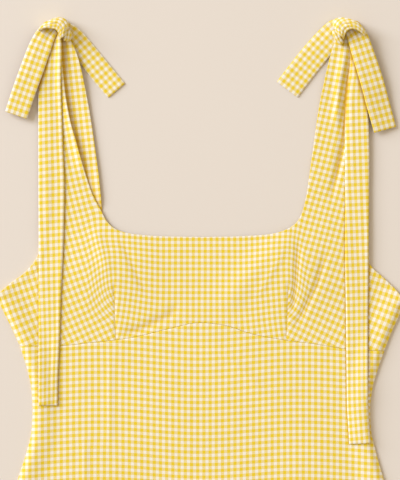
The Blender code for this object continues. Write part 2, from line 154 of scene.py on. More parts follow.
RIGHT_BODICE = rows_of(
    Rung,
    (0, 131.4, 87, 113.4, 187.4, 102.4),
    (0, 152, 88, 134, 195.5, 123),
    (0, 174, 88.6, 154.5, 203, 139.5),
    (0, 196, 88.8, 174, 206.8, 152.6),
    (0, 218.8, 96, 190, 201.5, 162.5),
    (39, 219.8, 107, 201, 194, 170.5),
    (70, 222, 117, 211, 184.5, 179.5),
    (88, 227.2, 124.5, 220, 176, 187),
    (98, 234.5, 130, 231, 170, 196.5),
    (103.5, 244.5, 134, 243, 166.5, 212),
    (107.5, 260, 137, 260, 164.5, 240),
    (111.5, 287, 139, 285, 163.8, 275),
    (115.8, 318, 141, 316, 163.8, 310),
    (120, 348, 143.5, 346, 163.8, 343),
    (124.6, 372, 146, 371, 163.4, 370),
    (132, 404, 148.5, 404, 161.8, 404),
    (141.5, 431, 151, 431, 160.5, 431),
)
BODICES = {LEFT: LEFT_BODICE, RIGHT: RIGHT_BODICE}
NECKLINE_RUNG = 4

Seam = namedtuple("Seam", "x y")
SEAM = rows_of(
    Seam,
    (-185.3, 107.5),
    (-144, 107.9),
    (-112, 111),
    (-87, 113.7),
    (-64.5, 117.4),
    (-34, 124.9),
    (0, 131.4),
    (22.5, 129),
    (54.3, 119.4),
    (87, 113.4),
    (116.7, 109.6),
    (147.5, 104.8),
    (187.4, 102.4),
)

# Half widths of the skirt, from the hem up to the under-bust seam
Width = namedtuple("Width", "y left right")
WIDTHS = rows_of(
    Width,
    (-429.4, 289, 289),
    (-260, 249, 249),
    (-163, 225, 225),
    (-90, 205.5, 205.5),
    (-29, 187.5, 187),
    (2, 177.6, 178.2),
    (21, 173.3, 174),
    (42, 172.2, 173),
    (62, 173.4, 175.2),
    (83, 177.6, 180.8),
    (102.4, 183.6, 187.4),
    (107.5, 185.3, 189),
)

# Soft folds in the flared skirt, each fading out upwards at start_y
Fold = namedtuple("Fold", "top_x hem_x start_y half_width height")
FOLDS = rows_of(
    Fold,
    (-150, -236, 60, 20, 2.2),
    (-118, -160, 110, 17, 1.9),
    (-93, -96, 70, 19, 2.6),
    (-18, -30, 20, 24, 1.8),
    (46, 52, 40, 20, 2.4),
    (104, 132, 90, 19, 2.7),
    (150, 214, 50, 22, 2.1),
)
FOLD_FULL = 0.9
SEAM_PULL_TO, HEM_PULL_FROM = 0.45, 0.5

# Back straps: neck side and armhole side, X outward
Strap = namedtuple("Strap", "y inner_x outer_x")
BACK_STRAPS = {
    LEFT: rows_of(
        Strap,
        (BACK_NECK_Y + GAP, 101, 163),
        (244, 101.2, 160),
        (277, 103.8, 157),
        (307, 107.7, 154),
        (339, 112.4, 152),
        (371, 118.1, 152),
        (394, 123.1, 152.5),
        (411, 128.6, 153),
        (430, 139.5, 155),
    ),
    RIGHT: rows_of(
        Strap,
        (BACK_NECK_Y + GAP, 107, 163),
        (244, 109, 160),
        (277, 113.5, 158),
        (307, 117.5, 156),
        (339, 121.5, 155),
        (371, 127.5, 156),
        (394, 132.5, 157),
        (411, 136, 158),
        (430, 143, 160),
    ),
}

# Ties from the knot to their cut end, X outward; z is the height of the underside
Tie = namedtuple("Tie", "x y half_width")
LONG_TIES = {
    LEFT: rows_of(
        Tie,
        (150.5, 431, 8),
        (152.8, 406, 10.6),
        (154.4, 370, 11.7),
        (153.7, 318, 12.4),
        (152.8, 268, 13.2),
        (153.2, 216, 12.6),
        (154.6, 155, 11.3),
        (155.2, 114, 10.6),
        (156, 73, 9.7),
        (156.1, 47.1, 9.5),
    ),
    RIGHT: rows_of(
        Tie,
        (156, 431, 6),
        (159.2, 409, 6.8),
        (160.2, 388, 8.8),
        (158.9, 359, 11.7),
        (159.7, 297, 12.3),
        (159.3, 196, 11.8),
        (159.4, 138, 11.1),
        (159.7, 59, 10.6),
        (162.3, 8, 10.7),
    ),
}
ShortTie = namedtuple("ShortTie", "x y z half_width")
OUTER_TIES = {
    LEFT: rows_of(
        ShortTie,
        (150.5, 434, 8.4, 7),
        (158.8, 424, 8.6, 10),
        (165.4, 409, 8.8, 11.4),
        (173.4, 387, 8.8, 11.8),
        (181.5, 365, 6.6, 11.8),
        (188.9, 343.5, 4.8, 11.7),
    ),
    RIGHT: rows_of(
        ShortTie,
        (153, 433, 8.4, 8),
        (159, 424, 8.6, 10.2),
        (165, 407, 8.8, 11.2),
        (174.2, 378.5, 8.8, 11.8),
        (181.9, 351, 6.4, 11.9),
        (188.2, 328.6, 4.6, 11.7),
    ),
}
INNER_TIES = {
    LEFT: rows_of(
        ShortTie,
        (148, 435, 1.4, 6.5),
        (139.5, 430, 0.9, 9.6),
        (130.6, 422, 0.5, 11.2),
        (113.5, 401.8, 0, 11.6),
        (100, 385.2, 0, 11.6),
        (86.2, 369, 0, 11.3),
    ),
    RIGHT: rows_of(
        ShortTie,
        (147.5, 436, 1.4, 7.5),
        (138.4, 429.6, 0.9, 12.4),
        (125, 415.8, 0.4, 13.2),
        (112.5, 401.2, 0, 13.3),
        (100, 385.3, 0, 13.3),
        (88.3, 369.9, 0, 13.3),
    ),
}

# Creases of the front. Height is a ridge or, below zero, a trough; take is the cloth that
# the crease swallows, which crowds the checks over it.
Crease = namedtuple("Crease", "half_width height take path")
BODICE_CREASES = rows_of(
    Crease,
    (6, 0.6, 0.6, ((-109, 232), (-102, 205), (-93, 178))),
    (5, -0.6, 0.5, ((-88, 119), (-62, 126), (-32, 140), (-22, 156))),
    (4, -0.35, 0.7, ((-86, 222), (-54, 154))),
    (13, 0.8, 0, ((12, 134), (60, 190), (102, 233))),
    (4, 0.3, 0.7, ((86, 208), (54, 152))),
    (3.6, -0.75, 1.2, ((99, 222), (97, 180), (94, 152), (88.5, 132))),
    (3.6, -0.65, 1.3, ((129, 212), (118, 170), (92, 119))),
    (3.6, 1.6, 0, ((148, 420), (144.6, 393.7), (141, 376.4), (139, 350), (138, 325))),
    (2.9, -1.7, 1.2,
     ((150.6, 424), (152.6, 406), (149.6, 383), (147.3, 356), (145.4, 318), (138.4, 285), (130.5, 250))),
    (3.4, -1.8, 0.9, ((-139.5, 428), (-138.5, 402), (-137, 380), (-133, 350))),
)
SKIRT_CREASES = rows_of(
    Crease,
    (3, 0.5, 0.6, ((-119, 20), (-119.5, -60))),
    (3.4, 0.4, 0.5, ((-93, 110), (-94, -10))),
    (4, 0.4, 0.4, ((4, 108), (32, 92), (70, 57))),
    (3, -0.4, 0.4, ((-40, -60), (-52, -190))),
    (3.4, 0.5, 0.5, ((78, -40), (92, -210))),
    (3, 0.4, 0.4, ((142, -120), (168, -300))),
    (3.2, -0.5, 0.5, ((-150, -140), (-182, -330))),
    (2.8, 0.4, 0.4, ((18, -230), (24, -390))),
)
CREASE_FADE = 0.28
CREASE_STRENGTH = 1.35
THINNEST = 0.25

# Shade painted into the cloth's colour where it sinks into a crease or lies close to what covers it, and on
# its undersides and the knots' cores
TROUGH_SHADE_PER_MM, TROUGH_SHADE_WIDTH = 0.5, 0.6
CONTACT_SHADE, CONTACT_SHADE_REACH = 0.7, 0.9
INNER_SHADE = 0.3
PAINTED_SHADE_TINT = (0.66, 0.42, 0.03, 1.0)
FRONT_SHADE, FRONT_SHADE_REACH = 0.5, 5.0
TAIL_CONTACT_SHADE, TAIL_CONTACT_SHADE_REACH = 0.95, 1.6
TROUGH_SHADE_ON_TIE = 1.7
BAND_TROUGH_SHADE, LUMP_SHADE = 0.35, 0.35

# Turn of the grain, in degrees from upright, growing down the straps into the outer cups
GrainTurn = namedtuple("GrainTurn", "y left right")
GRAIN_TURNS = rows_of(
    GrainTurn,
    (60, 27, 28),
    (124, 26, 28),
    (155, 24, 24),
    (185, 20, 19),
    (216, 16, 15),
    (268, 14, 16),
    (298, 11.5, 14),
    (359, 10, 12),
    (450, 6, 6),
)

# Where the turned grain starts from the upright one, X outward, and how wide the change is
GrainChange = namedtuple("GrainChange", "y left left_half right right_half")
GRAIN_CHANGES = rows_of(
    GrainChange,
    (174, 102, 15, 99, 12),
    (201, 104, 14, 97, 11),
    (216, 108, 12, 96, 9),
    (235, 110, 10, 98, 8),
    (252, 106, 8, 102, 6),
    (272, 92, 8, 92, 6),
)

# How the cup's inner half shifts its checks: rows rise, columns close up and lean outward
CupGrain = namedtuple("CupGrain", "guide_x pivot_x pivot_y row_rise close_up lean")
CUP_GRAINS = {
    LEFT: CupGrain(119.0, 110.0, 230.0, 6.6, 5.0, 13.0),
    RIGHT: CupGrain(125.0, 97.0, 234.0, 5.6, 5.2, 9.0),
}
GUIDE_Y = 267.0
CUP_FROM_X, CUP_FULL_X = 36.0, 96.0
NECK_FADE_Y, CUP_FULL_Y = 228.0, 192.0
NECK_SHARE = 0.45
LEAN_FROM_X, LEAN_FULL_X = 12.0, 74.0
LEAN_TOP_Y, LEAN_LENGTH = 180.0, 60.0
BODICE_CHECKS = 1.05
STRAP_CHECKS_ACROSS, STRAP_CHECKS_ALONG = 1.10, 0.985
OUTER_FACE_REACH = 45.0
BODICE_GRAIN_SHIFT = (2.0, 1.05)
TURNED_GRAIN_SHIFTS = {LEFT: (1.1, 2.5), RIGHT: (2.2, 0.5)}
SKIRT_GRAIN_SHIFT = (-3.0, 1.0)
SKIRT_WAVE, SKIRT_WAVE_REACH = 5.6, 102.0
HEM_WAVE_SHARE, WAVE_GROWS = 0.4, (-300.0, 80.0)

# Back straps: the turn of their grain, the curl of their neck edge and a seam's ridge across them
BACK_STRAP_TURN = 6.0
BACK_CURL, BACK_CURL_WIDTH = 2.0, 8.0
STRAP_JOIN, STRAP_JOIN_Y, STRAP_JOIN_HALF = 0.45, 379.0, 1.0

# Along a tie from the knot: where its pleats start to fade, and where a drooping one sinks
PLEAT_FROM = 8.0
DROOP_REACH = (10.0, 60.0)

# Colours as screen levels, and the share of its colour that the floor keeps where it is darker
YARN_YELLOW = (231, 202, 42)
YARN_WHITE = (239, 236, 230)
FLOOR_COLOUR = (226, 219, 214)
FLOOR_MOTTLE = 0.965
THREAD_LIGHT, THREAD_DARK = (240, 226, 170), (226, 208, 140)

# The light and the room
KEY_POWER, KEY_WIDTH, KEY_HEIGHT = 810.0, 5.0, 5.5
KEY_PLACE, KEY_AIM = (-6.6, 4.0, 4.2), (0.0, 0.15, 0.0)
KEY_COLOUR = (0.92, 0.985, 1.09)
AMBIENT, AMBIENT_COLOUR = 0.66, (1.0, 0.85, 0.62)
FLOOR_HALF = 9.0

# Stitches
STITCH_SIZES = {"Spacing": 2.9, "Length": 2.3, "Radius": 0.17}
STITCH_UNEVEN, STITCH_SEED = (0.85, 1.1), 7
STITCH_LINE_STEP = 2.0
HEM_STITCH_Y, HEM_STITCH_X = 15.0, 281.0
ARMHOLE_STITCH_X = 120.0

# Creases along a tie: at is the place across it from -1 to 1, start and end lie along it
TieCrease = namedtuple("TieCrease", "at start end half_width height")
# How a tie hangs and where its checks lie. Drift is where it loses one check, if it does.
TieLooks = namedtuple(
    "TieLooks",
    "phase sway_length cloth_half checks_along shift creases "
    "pleat pleat_reach sway puff droop checks_across row_tilt drift",
    defaults=(0.5, 30.0, 0.3, 0.3, 0.0, 1.087, 0.0, None),
)
LONG_LEFT_CREASES = rows_of(
    TieCrease,
    (0.86, -160, 560, 1.6, 0.5),
    (0.68, -30, 90, 1.3, 0.6),
    (0.47, -20, 70, 0.9, -0.7),
    (0.55, 300, 386, 2, 0.6),
    (-0.3, 120, 210, 2.6, 0.4),
)
LONG_RIGHT_CREASES = rows_of(
    TieCrease,
    (0.88, -160, 600, 1.6, 0.4),
    (-0.4, 60, 170, 2.4, 0.4),
    (0.35, 260, 400, 2.4, 0.45),
)
LONG_TIE_HANG = {"sway": 0.25, "puff": 0.2, "checks_across": 1.097}
LONG_TIE_LOOKS = {
    LEFT: TieLooks(
        0.4, 31, 12.6, 0.932, (-1.6, 0.9), LONG_LEFT_CREASES,
        pleat_reach=40, row_tilt=5, drift=(165, 345), **LONG_TIE_HANG,
    ),
    RIGHT: TieLooks(
        1.9, 37, 12.2, 0.932, (3.7, -1.8), LONG_RIGHT_CREASES,
        pleat_reach=50, row_tilt=2.5, drift=(90, 300), **LONG_TIE_HANG,
    ),
}
OUTER_TIE_LOOKS = {
    LEFT: TieLooks(0.9, 17, 12, 0.89, (2.4, -0.2), (TieCrease(-0.3, 20, 70, 2.4, 0.4),)),
    RIGHT: TieLooks(2.2, 19, 12, 0.865, (0.2, -0.3), (TieCrease(0.2, 20, 80, 2.4, 0.4),), droop=3),
}
INNER_TIE_HANG = {"pleat": 0.6, "sway": 0.25}
INNER_TIE_LOOKS = {
    LEFT: TieLooks(
        0.2, 15, 11.4, 0.932, (3.3, -2.1), (TieCrease(0.1, 20, 70, 2.4, 0.3),), **INNER_TIE_HANG
    ),
    RIGHT: TieLooks(
        1.2, 18, 13.4, 0.932, (2.3, 4), (TieCrease(-0.1, 20, 70, 2.4, 0.3),), **INNER_TIE_HANG
    ),
}

# Knots: a band of tie wrapped over a lump. Each row gives the band's far edge, the edge along
# its slit, how low the far edge falls and how far the slit's edge sinks, X to the right.
Band = namedtuple("Band", "far_x far_y near_x near_y far_base near_drop")
KNOT_BANDS = {
    LEFT: rows_of(
        Band,
        (-17, 0, -16.4, -0.6, 5, 2.5),
        (-14.2, 2.6, -13.6, 0.6, 3, 1.6),
        (-10, 5.4, -9.8, 1.6, 1.4, 0.5),
        (-3.2, 9.6, -4.5, 1.4, 1.2, 0),
        (3.8, 12, 0.4, 0.4, 1.2, 0),
        (9.6, 10.2, 2.2, -1, 1.6, 0.2),
        (12.2, 4.4, 3.6, -3.5, 4, 0.6),
        (10.4, -2.4, 4.4, -6.7, 7, 1.6),
        (8.4, -7.4, 5.2, -9.6, 7.4, 3.6),
    ),
    RIGHT: rows_of(
        Band,
        (17.6, -4.2, 17, -5.8, 5, 2.5),
        (15, -0.2, 14.4, -4.2, 3, 1.6),
        (11.2, 4, 11, -2.2, 1.4, 0.5),
        (6, 7.8, 7.2, 0, 1.2, 0),
        (0.2, 10.2, 3.4, 0.8, 1.2, 0),
        (-7.9, 11.8, 0, 0, 1.2, 0),
        (-13.8, 10, -2.6, -2, 1.6, 0.3),
        (-15, 5.2, -3.8, -4.6, 4, 0.8),
        (-12, -0.8, -4.6, -7.2, 7, 1.8),
        (-8.2, -6.6, -5.4, -10.2, 7.4, 3.6),
    ),
}
KNOT_LOBES = {
    LEFT: rows_of(
        Band,
        (13.2, 0.8, 10.6, -0.6, 4, 1.5),
        (15.4, -3.6, 9.6, -3.6, 3.6, 0),
        (14.4, -8.2, 8.8, -7.4, 4.6, 0),
        (11, -11, 8.6, -10.2, 6, 1.5),
    ),
    RIGHT: rows_of(
        Band,
        (-16, 0.4, -13.2, 1, 4, 1.5),
        (-14.4, -5.6, -9.6, -3.6, 4.6, 0),
        (-11, -10.8, -7.2, -8.6, 5.6, 0),
        (-6.8, -14.2, -5.4, -12.6, 6.4, 1.5),
    ),
}
KNOT_WAIST_Z = 9.0
BAND_CLOTH, BAND_ROUNDING, BAND_END_SHARE = 2.2, 1.4, 0.1
BAND_CROWN, BAND_SPREAD, NEAR_DROP_WIDTH = 0.8, 1.2, 0.6
LUMP_SIZE, LUMP_RIPPLE = 0.84, 0.03
BAND_INWARD, BAND_DOWN = 1.0, 1.5
BAND_CHECKS_ACROSS, BAND_CHECKS_ALONG = 1.7, 1.2
LUMP_TOP, BAND_TOP, LOBE_TOP = 8.2, 17.6, 14.5
BAND_PLEATS, BAND_PLEAT = 3, 0.55
DRAPE_FROM = 0.74
DRAPE_OUT = 0.7


def ease(low, high, value):
    """0 below low, 1 above high, and a soft step between."""
    part = np.clip((np.asarray(value, float) - low) / (high - low), 0.0, 1.0)
    return part * part * (3 - 2 * part)


def bell(distance, half_width):
    return np.exp(-((distance / half_width) ** 2))


def curve_through(places, values, place):
    """A smooth curve through (place, value) pairs that never overshoots them."""
    places, values = np.asarray(places, float), np.asarray(values, float)
    place = np.asarray(place, float)
    steps = np.diff(places)
    slopes = np.diff(values) / steps
    before, after = slopes[:-1], slopes[1:]
    same_way = before * after > 0
    both = np.where(same_way, before + after, 1.0)
    inner = np.where(same_way, 2 * before * after / both, 0.0)
    bends = np.concatenate([slopes[:1], inner, slopes[-1:]])
    k = np.clip(np.searchsorted(places, place, side="right") - 1, 0, len(steps) - 1)
    part = (place - places[k]) / steps[k]
    rest = 1 - part
    return (
        values[k] * rest * rest * (1 + 2 * part)
        + values[k + 1] * part * part * (3 - 2 * part)
        + bends[k] * steps[k] * part * rest * rest
        - bends[k + 1] * steps[k] * part * part * rest
    )


def columns_at(table, places):
    """All columns of an evenly counted table, read between its rows."""
    counts = np.arange(len(table))
    return type(table[0])(*(curve_through(counts, column, places) for column in zip(*table)))


def column_at(table, key, name, place):
    """One named column of a table, read against another one."""
    places = [getattr(row, key) for row in table]
    clipped = np.clip(place, places[0], places[-1])
    return curve_through(places, [getattr(row, name) for row in table], clipped)


def seam_y(x):
    return column_at(SEAM, "x", "y", x)


def half_width(side, y):
    return column_at(WIDTHS, "y", SIDE_WORDS[side], y)


def hem_rise(x):
    return HEM_CURVE * (x / WIDTHS[0].left) ** 2


def along_path(points, path):
    """Share along a path, and signed distance from it, for each point."""
    path = np.asarray(path, float)
    lengths = np.hypot(*np.diff(path, axis=0).T)
    starts = np.concatenate([[0.0], np.cumsum(lengths)])
    share = np.zeros(len(points))
    nearest = np.full(len(points), np.inf)
    signed = np.zeros(len(points))
    for k, length in enumerate(lengths):
        way = (path[k + 1] - path[k]) / length
        off = points - path[k]
        reach = off @ way
        inside_part = np.clip(reach, 0.0, length)
        gap = np.hypot(*(off - inside_part[:, None] * way).T)
        # The ends run on straight, so that a crease can fade past them.
        past_end = (k == 0) & (reach < 0) | (k == len(lengths) - 1) & (reach > length)
        open_end = np.where(past_end, reach, inside_part)
        closer = gap < nearest
        across = off[:, 0] * way[1] - off[:, 1] * way[0]
        nearest = np.where(closer, gap, nearest)
        signed = np.where(closer, np.sign(across) * gap, signed)
        share = np.where(closer, (starts[k] + open_end) / starts[-1], share)
    return share, signed


def crease_window(share):
    return ease(0.0, CREASE_FADE, share) * (1 - ease(1 - CREASE_FADE, 1.0, share))


def crease_relief(points, creases):
    height = np.zeros(len(points))
    for crease in creases:
        share, off = along_path(points, crease.path)
        height += CREASE_STRENGTH * crease.height * bell(off, crease.half_width) * crease_window(share)
    return height


def crowded(points, creases):
    """The points moved as the creases swallow cloth, for the grain alone."""
    moved = points.copy()
    for crease in creases:
        if not crease.take:
            continue
        share, off = along_path(points, crease.path)
        part = off / crease.half_width
        path = np.asarray(crease.path, float)
        way = (path[-1] - path[0]) / np.hypot(*(path[-1] - path[0]))
        normal = np.array([way[1], -way[0]])
        shift = crease.take * 2 * part / (1 + part * part) * crease_window(share)
        moved += shift[:, None] * normal
    return moved


def strap_rise(y):
    return RISE * ease(RISE_FROM_Y, RISE_TO_Y, y)


def cup_height(x, y):
    across = np.abs(x)
    loft = CUP_LOFT * bell(across - CUP_X, CUP_ACROSS) * bell(y - CUP_Y, CUP_ALONG)
    return loft * ease(*CUP_EASE, y)


def dart_groove(x, y, half):
    closed = 1 - ease(DART_TIP_Y - DART_TAPER, DART_TIP_Y + DART_OVERRUN, y)
    return DART_DEPTH * bell(np.abs(x) - dart_x(y), half) * closed


def painted_trough_shade(points, creases):
    """Painted shade: 0 on open cloth up to 1 where it sinks into a trough."""
    depth = np.zeros(len(points))
    for crease in creases:
        if crease.height > 0:
            continue
        share, off = along_path(points, crease.path)
        in_shade = bell(off, TROUGH_SHADE_WIDTH * crease.half_width) * crease_window(share)
        depth -= TROUGH_SHADE_PER_MM * crease.height * in_shade
    return depth


def armhole(side):
    """The armhole's edge from the underarm up to where the knot hides it."""
    return rung_edge(side, "outer", NECKLINE_RUNG - 1)


def side_edge(side):
    """The side seam from the hem up to the underarm."""
    levels = np.linspace(WIDTHS[0].y, SEAM[0].y, ROLL_LEVELS)
    upper = rung_edge(side, "outer")
    upper = upper[: len(upper) * (NECKLINE_RUNG - 1) // len(BODICES[side])]
    lower = np.column_stack([side * half_width(side, levels), levels])
    return np.vstack([lower, upper[EDGE_SKIP::EDGE_SKIP]])


def side_roll(points):
    """The cloth turns over softly to the back along its side seams."""
    gap = np.minimum(*(edge_distance(points, side_edge(side), closed=False) for side in (LEFT, RIGHT)))
    return SIDE_ROLL * ease(0.0, ROLL_RISE, gap) * (1 - ease(ROLL_RISE, ROLL_FALL, gap))


def armhole_distance(points):
    lines = (armhole(side)[::EDGE_SKIP] for side in (LEFT, RIGHT))
    return np.minimum(*(edge_distance(points, line, closed=False) for line in lines))


def dart_x(y):
    """The dart's line follows the bodice's middle column, X outward."""
    return column_at(LEFT_BODICE[:4], "middle_y", "middle_x", y)


def fold_height(x, y):
    height = np.zeros(np.shape(x))
    for fold in FOLDS:
        down = np.clip((fold.start_y - y) / (fold.start_y - HEM_Y), 0.0, None)
        middle = fold.top_x + (fold.hem_x - fold.top_x) * down
        spread = fold.half_width * (1 + down)
        height += fold.height * ease(0, FOLD_FULL, down) * bell(x - middle, spread)
    return height


def front_underside(points):
    x, y = points.T
    return FRONT_Z + cup_height(x, y) + fold_height(x, y) + strap_rise(y)


def neck_curl(points):
    """The left strap's neck edge turns up, away from the back strap below it."""
    x, y = points.T
    edge = neck_edge(LEFT)
    off = np.interp(y, edge[:, 1], edge[:, 0]) - x
    curl = NECK_CURL * bell(off, NECK_CURL_WIDTH) * ease(NECK_CURL_FROM_Y, NECK_CURL_FULL_Y, y)
    return np.where(x < 0, curl, 0.0)


def bodice_relief(points):
    x, y = points.T
    facing_ends = ease(FACING_WIDTH - FACING_EDGE, FACING_WIDTH + FACING_EDGE, armhole_distance(points))
    facing = FACING * (1 - facing_ends)
    folds = crease_relief(points, BODICE_CREASES) + side_roll(points) + neck_curl(points)
    return folds + facing - dart_groove(x, y, DART_HALF)


def beside_tie(points, side, table, reach_out):
    """How closely a tie's edges lie over each point."""
    fine = columns_at(table, np.linspace(0, len(table) - 1, TIE_EDGE_POINTS))
    middle = np.column_stack([side * fine.x, fine.y])
    share, off = along_path(points, middle)
    reach = np.interp(share, np.linspace(0.0, 1.0, len(middle)), fine.half_width)
    past_edge = np.abs(off) - reach
    on_its_length = (share > 0) & (share < 1)
    return bell(past_edge - reach_out / 3, reach_out) * on_its_length


# Contact shade painted on the front beside the long ties' edges.
def shade_under_ties(points):
    near = (beside_tie(points, side, LONG_TIES[side], CONTACT_SHADE_REACH) for side in (LEFT, RIGHT))
    return CONTACT_SHADE * np.maximum(*near)


# Shade painted on the bodice in its troughs, along the darts' lines and beside the long ties' edges.
def bodice_painted_shade(points):
    x, y = points.T
    return painted_trough_shade(points, BODICE_CREASES) + dart_groove(x, y, DART_LINE) + shade_under_ties(points)


# Shade painted on the skirt in its troughs and beside the long ties' edges.
def skirt_painted_shade(points):
    return painted_trough_shade(points, SKIRT_CREASES) + shade_under_ties(points)


def skirt_relief(points):
    below_seam = seam_y(points[:, 0]) - points[:, 1]
    ridge = SEAM_RIDGE * bell(below_seam - SEAM_RIDGE_AT, SEAM_RIDGE_HALF)
    return crease_relief(points, SKIRT_CREASES) + ridge + side_roll(points)


def on_front(points):
    """Height of the front's outer face, the creases included."""
    relief = np.where(points[:, 1] > seam_y(points[:, 0]), bodice_relief(points), skirt_relief(points))
    return front_underside(points) + CLOTH + relief


def running_length(points):
    """Distance along a line of points, up to each of them."""
    return np.concatenate([[0.0], np.cumsum(np.hypot(*np.diff(points, axis=0).T))])


def resampled(points, spacing):
    """Evenly spaced points along a line of points, both ends kept."""
    points = np.asarray(points, float)
    along = running_length(points)
    count = max(int(round(along[-1] / spacing)), 1)
    places = np.linspace(0.0, along[-1], count + 1)
    return np.column_stack([np.interp(places, along, points[:, k]) for k in (0, 1)])


def closed_outline(runs, spacing=OUTLINE_STEP):
    """Runs of points that meet end to end, anticlockwise, as one loop."""
    return np.vstack([resampled(run, spacing)[:-1] for run in runs])


def units(vectors):
    return vectors / np.maximum(np.linalg.norm(vectors, axis=-1, keepdims=True), 1e-12)


def left_of(way):
    """The way a quarter turn to the left."""
    return np.column_stack([-way[:, 1], way[:, 0]])


def inset(loop, depth):
    """The loop moved inwards by depth."""
    first = units(loop - np.roll(loop, 1, axis=0))
    second = units(np.roll(loop, -1, axis=0) - loop)
    way = units(first + second)
    square = np.clip((first * way).sum(axis=1), 0.5, 1.0)
    return loop + left_of(way) * (depth / square)[:, None]


def edge_distance(points, loop, closed=True):
    """Distance from each point to a loop or, if it isn't closed, a line."""
    ends = np.roll(loop, -1, axis=0)
    pairs = list(zip(loop, ends)) if closed else list(zip(loop[:-1], loop[1:]))
    nearest = np.full(len(points), np.inf)
    for start, end in pairs:
        step = end - start
        off = points - start
        part = np.clip(off @ step / (step @ step), 0.0, 1.0)
        gap = off - part[:, None] * step
        nearest = np.minimum(nearest, (gap * gap).sum(axis=1))
    return np.sqrt(nearest)


def inside(points, loop):
    x, y = points.T
    odd = np.zeros(len(points), bool)
    for (ax, ay), (bx, by) in zip(loop, np.roll(loop, -1, axis=0)):
        if ay == by:
            continue
        spans = (ay > y) != (by > y)
        odd ^= spans & (x < ax + (y - ay) * (bx - ax) / (by - ay))
    return odd


def triangulated(loop, spacing, lines=()):
    """Points and triangles that fill a loop, finer at its edge and beside the lines in it."""
    low, high = loop.min(axis=0), loop.max(axis=0)
    levels = np.arange(low[1], high[1], spacing * math.sqrt(0.75))
    xs, ys = np.meshgrid(np.arange(low[0], high[0] + spacing, spacing), levels)
    xs[1::2] += spacing / 2
    grid = np.column_stack([xs.ravel(), ys.ravel()])
    grid = grid[inside(grid, loop)]
    grid = grid[edge_distance(grid, loop) > EDGE_RINGS[-1] + spacing / 2]
    groups = [loop] + [inset(loop, depth) for depth in EDGE_RINGS]
    edges = [(k, (k + 1) % len(loop)) for k in range(len(loop))]
    for line in lines:
        grid = grid[edge_distance(grid, line, closed=False) > LINE_STEPS[-1] + spacing / 2]
        way = units(np.gradient(line, axis=0))
        for step in LINE_STEPS:
            beside = line + step * left_of(way)
            if step == 0.0:
                first = sum(len(group) for group in groups)
                edges += [(first + k, first + k + 1) for k in range(len(line) - 1)]
            groups.append(beside)
    corners = np.vstack(groups + [grid])
    made = delaunay_2d_cdt([Vector(point) for point in corners], edges, [], 0, 1e-6)
    points = np.array([tuple(point) for point in made[0]])
    faces = np.array([face for face in made[2] if len(face) == 3])
    faces = faces[inside(points[faces].mean(axis=1), loop)]
    a, b, c = (points[faces[:, k]] for k in range(3))
    turned = (b - a)[:, 0] * (c - a)[:, 1] - (b - a)[:, 1] * (c - a)[:, 0] < 0
    faces[turned] = faces[turned][:, ::-1]
    return points, faces


def rounding(distance, radius):
    """Share of the full thickness at a distance from a rounded edge."""
    part = 1 - np.clip((distance - EDGE_SLACK) / radius, 0.0, 1.0)
    return np.sqrt(1 - part * part)


def mesh_object(name, corners, faces, corner_uvs, material, painted_shade):
    """A closed smooth mesh from millimetre corners, with its grain as a UV map in metres and its painted
    shade as a point attribute.
    """
    mesh = bpy.data.meshes.new(name)
    mesh.from_pydata((np.asarray(corners) * MM).tolist(), [], faces)
    grain = mesh.uv_layers.new(name="Grain")
    grain.data.foreach_set("uv", (np.asarray(corner_uvs) * MM).astype(np.float32).ravel())
    shade = mesh.attributes.new("painted_shade", "FLOAT", "POINT")
    shade.data.foreach_set("value", np.clip(painted_shade, 0.0, 1.0).astype(np.float32))
    shape = bmesh.new()
    shape.from_mesh(mesh)
    bmesh.ops.remove_doubles(shape, verts=shape.verts, dist=1e-7)
    shape.to_mesh(mesh)
    shape.free()
    mesh.materials.append(material)
    mesh.shade_smooth()
    thing = bpy.data.objects.new(name, mesh)
    bpy.context.scene.collection.objects.link(thing)
    return thing


def cloth_panel(name, loop, spacing, underside, relief, shade_paint, grain, material, lines=()):
    """A cut panel: a fine outer face and a plain inner one that meet in a rounded edge, with shade painted on
    that edge, into the outer face where given and over all the inner face.
    """
    corners, faces, uvs, painted_shade = [], [], [], []
    count = 0
    for step, outer in ((spacing, True), (UNDERSIDE_STEP, False)):
        points, made = triangulated(loop, step, lines if outer else ())
        full = rounding(edge_distance(points, loop), EDGE_ROUNDING)
        middle = underside(points) + CLOTH / 2
        raised = np.maximum(relief(points), THINNEST - CLOTH)
        if outer:
            z = middle + raised + full * CLOTH / 2
            painted_shade.append(EDGE_PAINTED_SHADE * (full < EDGE_SLACK) + shade_paint(points))
        else:
            painted_shade.append(np.full(len(points), INNER_SHADE))
            z = middle + raised * (1 - full) - full * CLOTH / 2
            made = made[:, ::-1]
        corners.append(np.column_stack([points, z]))
        faces += (made + count).tolist()
        count += len(points)
        centres = np.repeat(points[made].mean(axis=1), 3, axis=0)
        uvs.append(grain(points[made.ravel()], centres))
    return mesh_object(name, np.vstack(corners), faces, np.vstack(uvs), material, np.concatenate(painted_shade))


def grid_faces(rows, columns, start=0, turned=False):
    first = (np.arange(rows - 1)[:, None] * columns + np.arange(columns - 1)).ravel() + start
    quads = np.column_stack([first, first + 1, first + columns + 1, first + columns])
    return quads[:, ::-1] if turned else quads


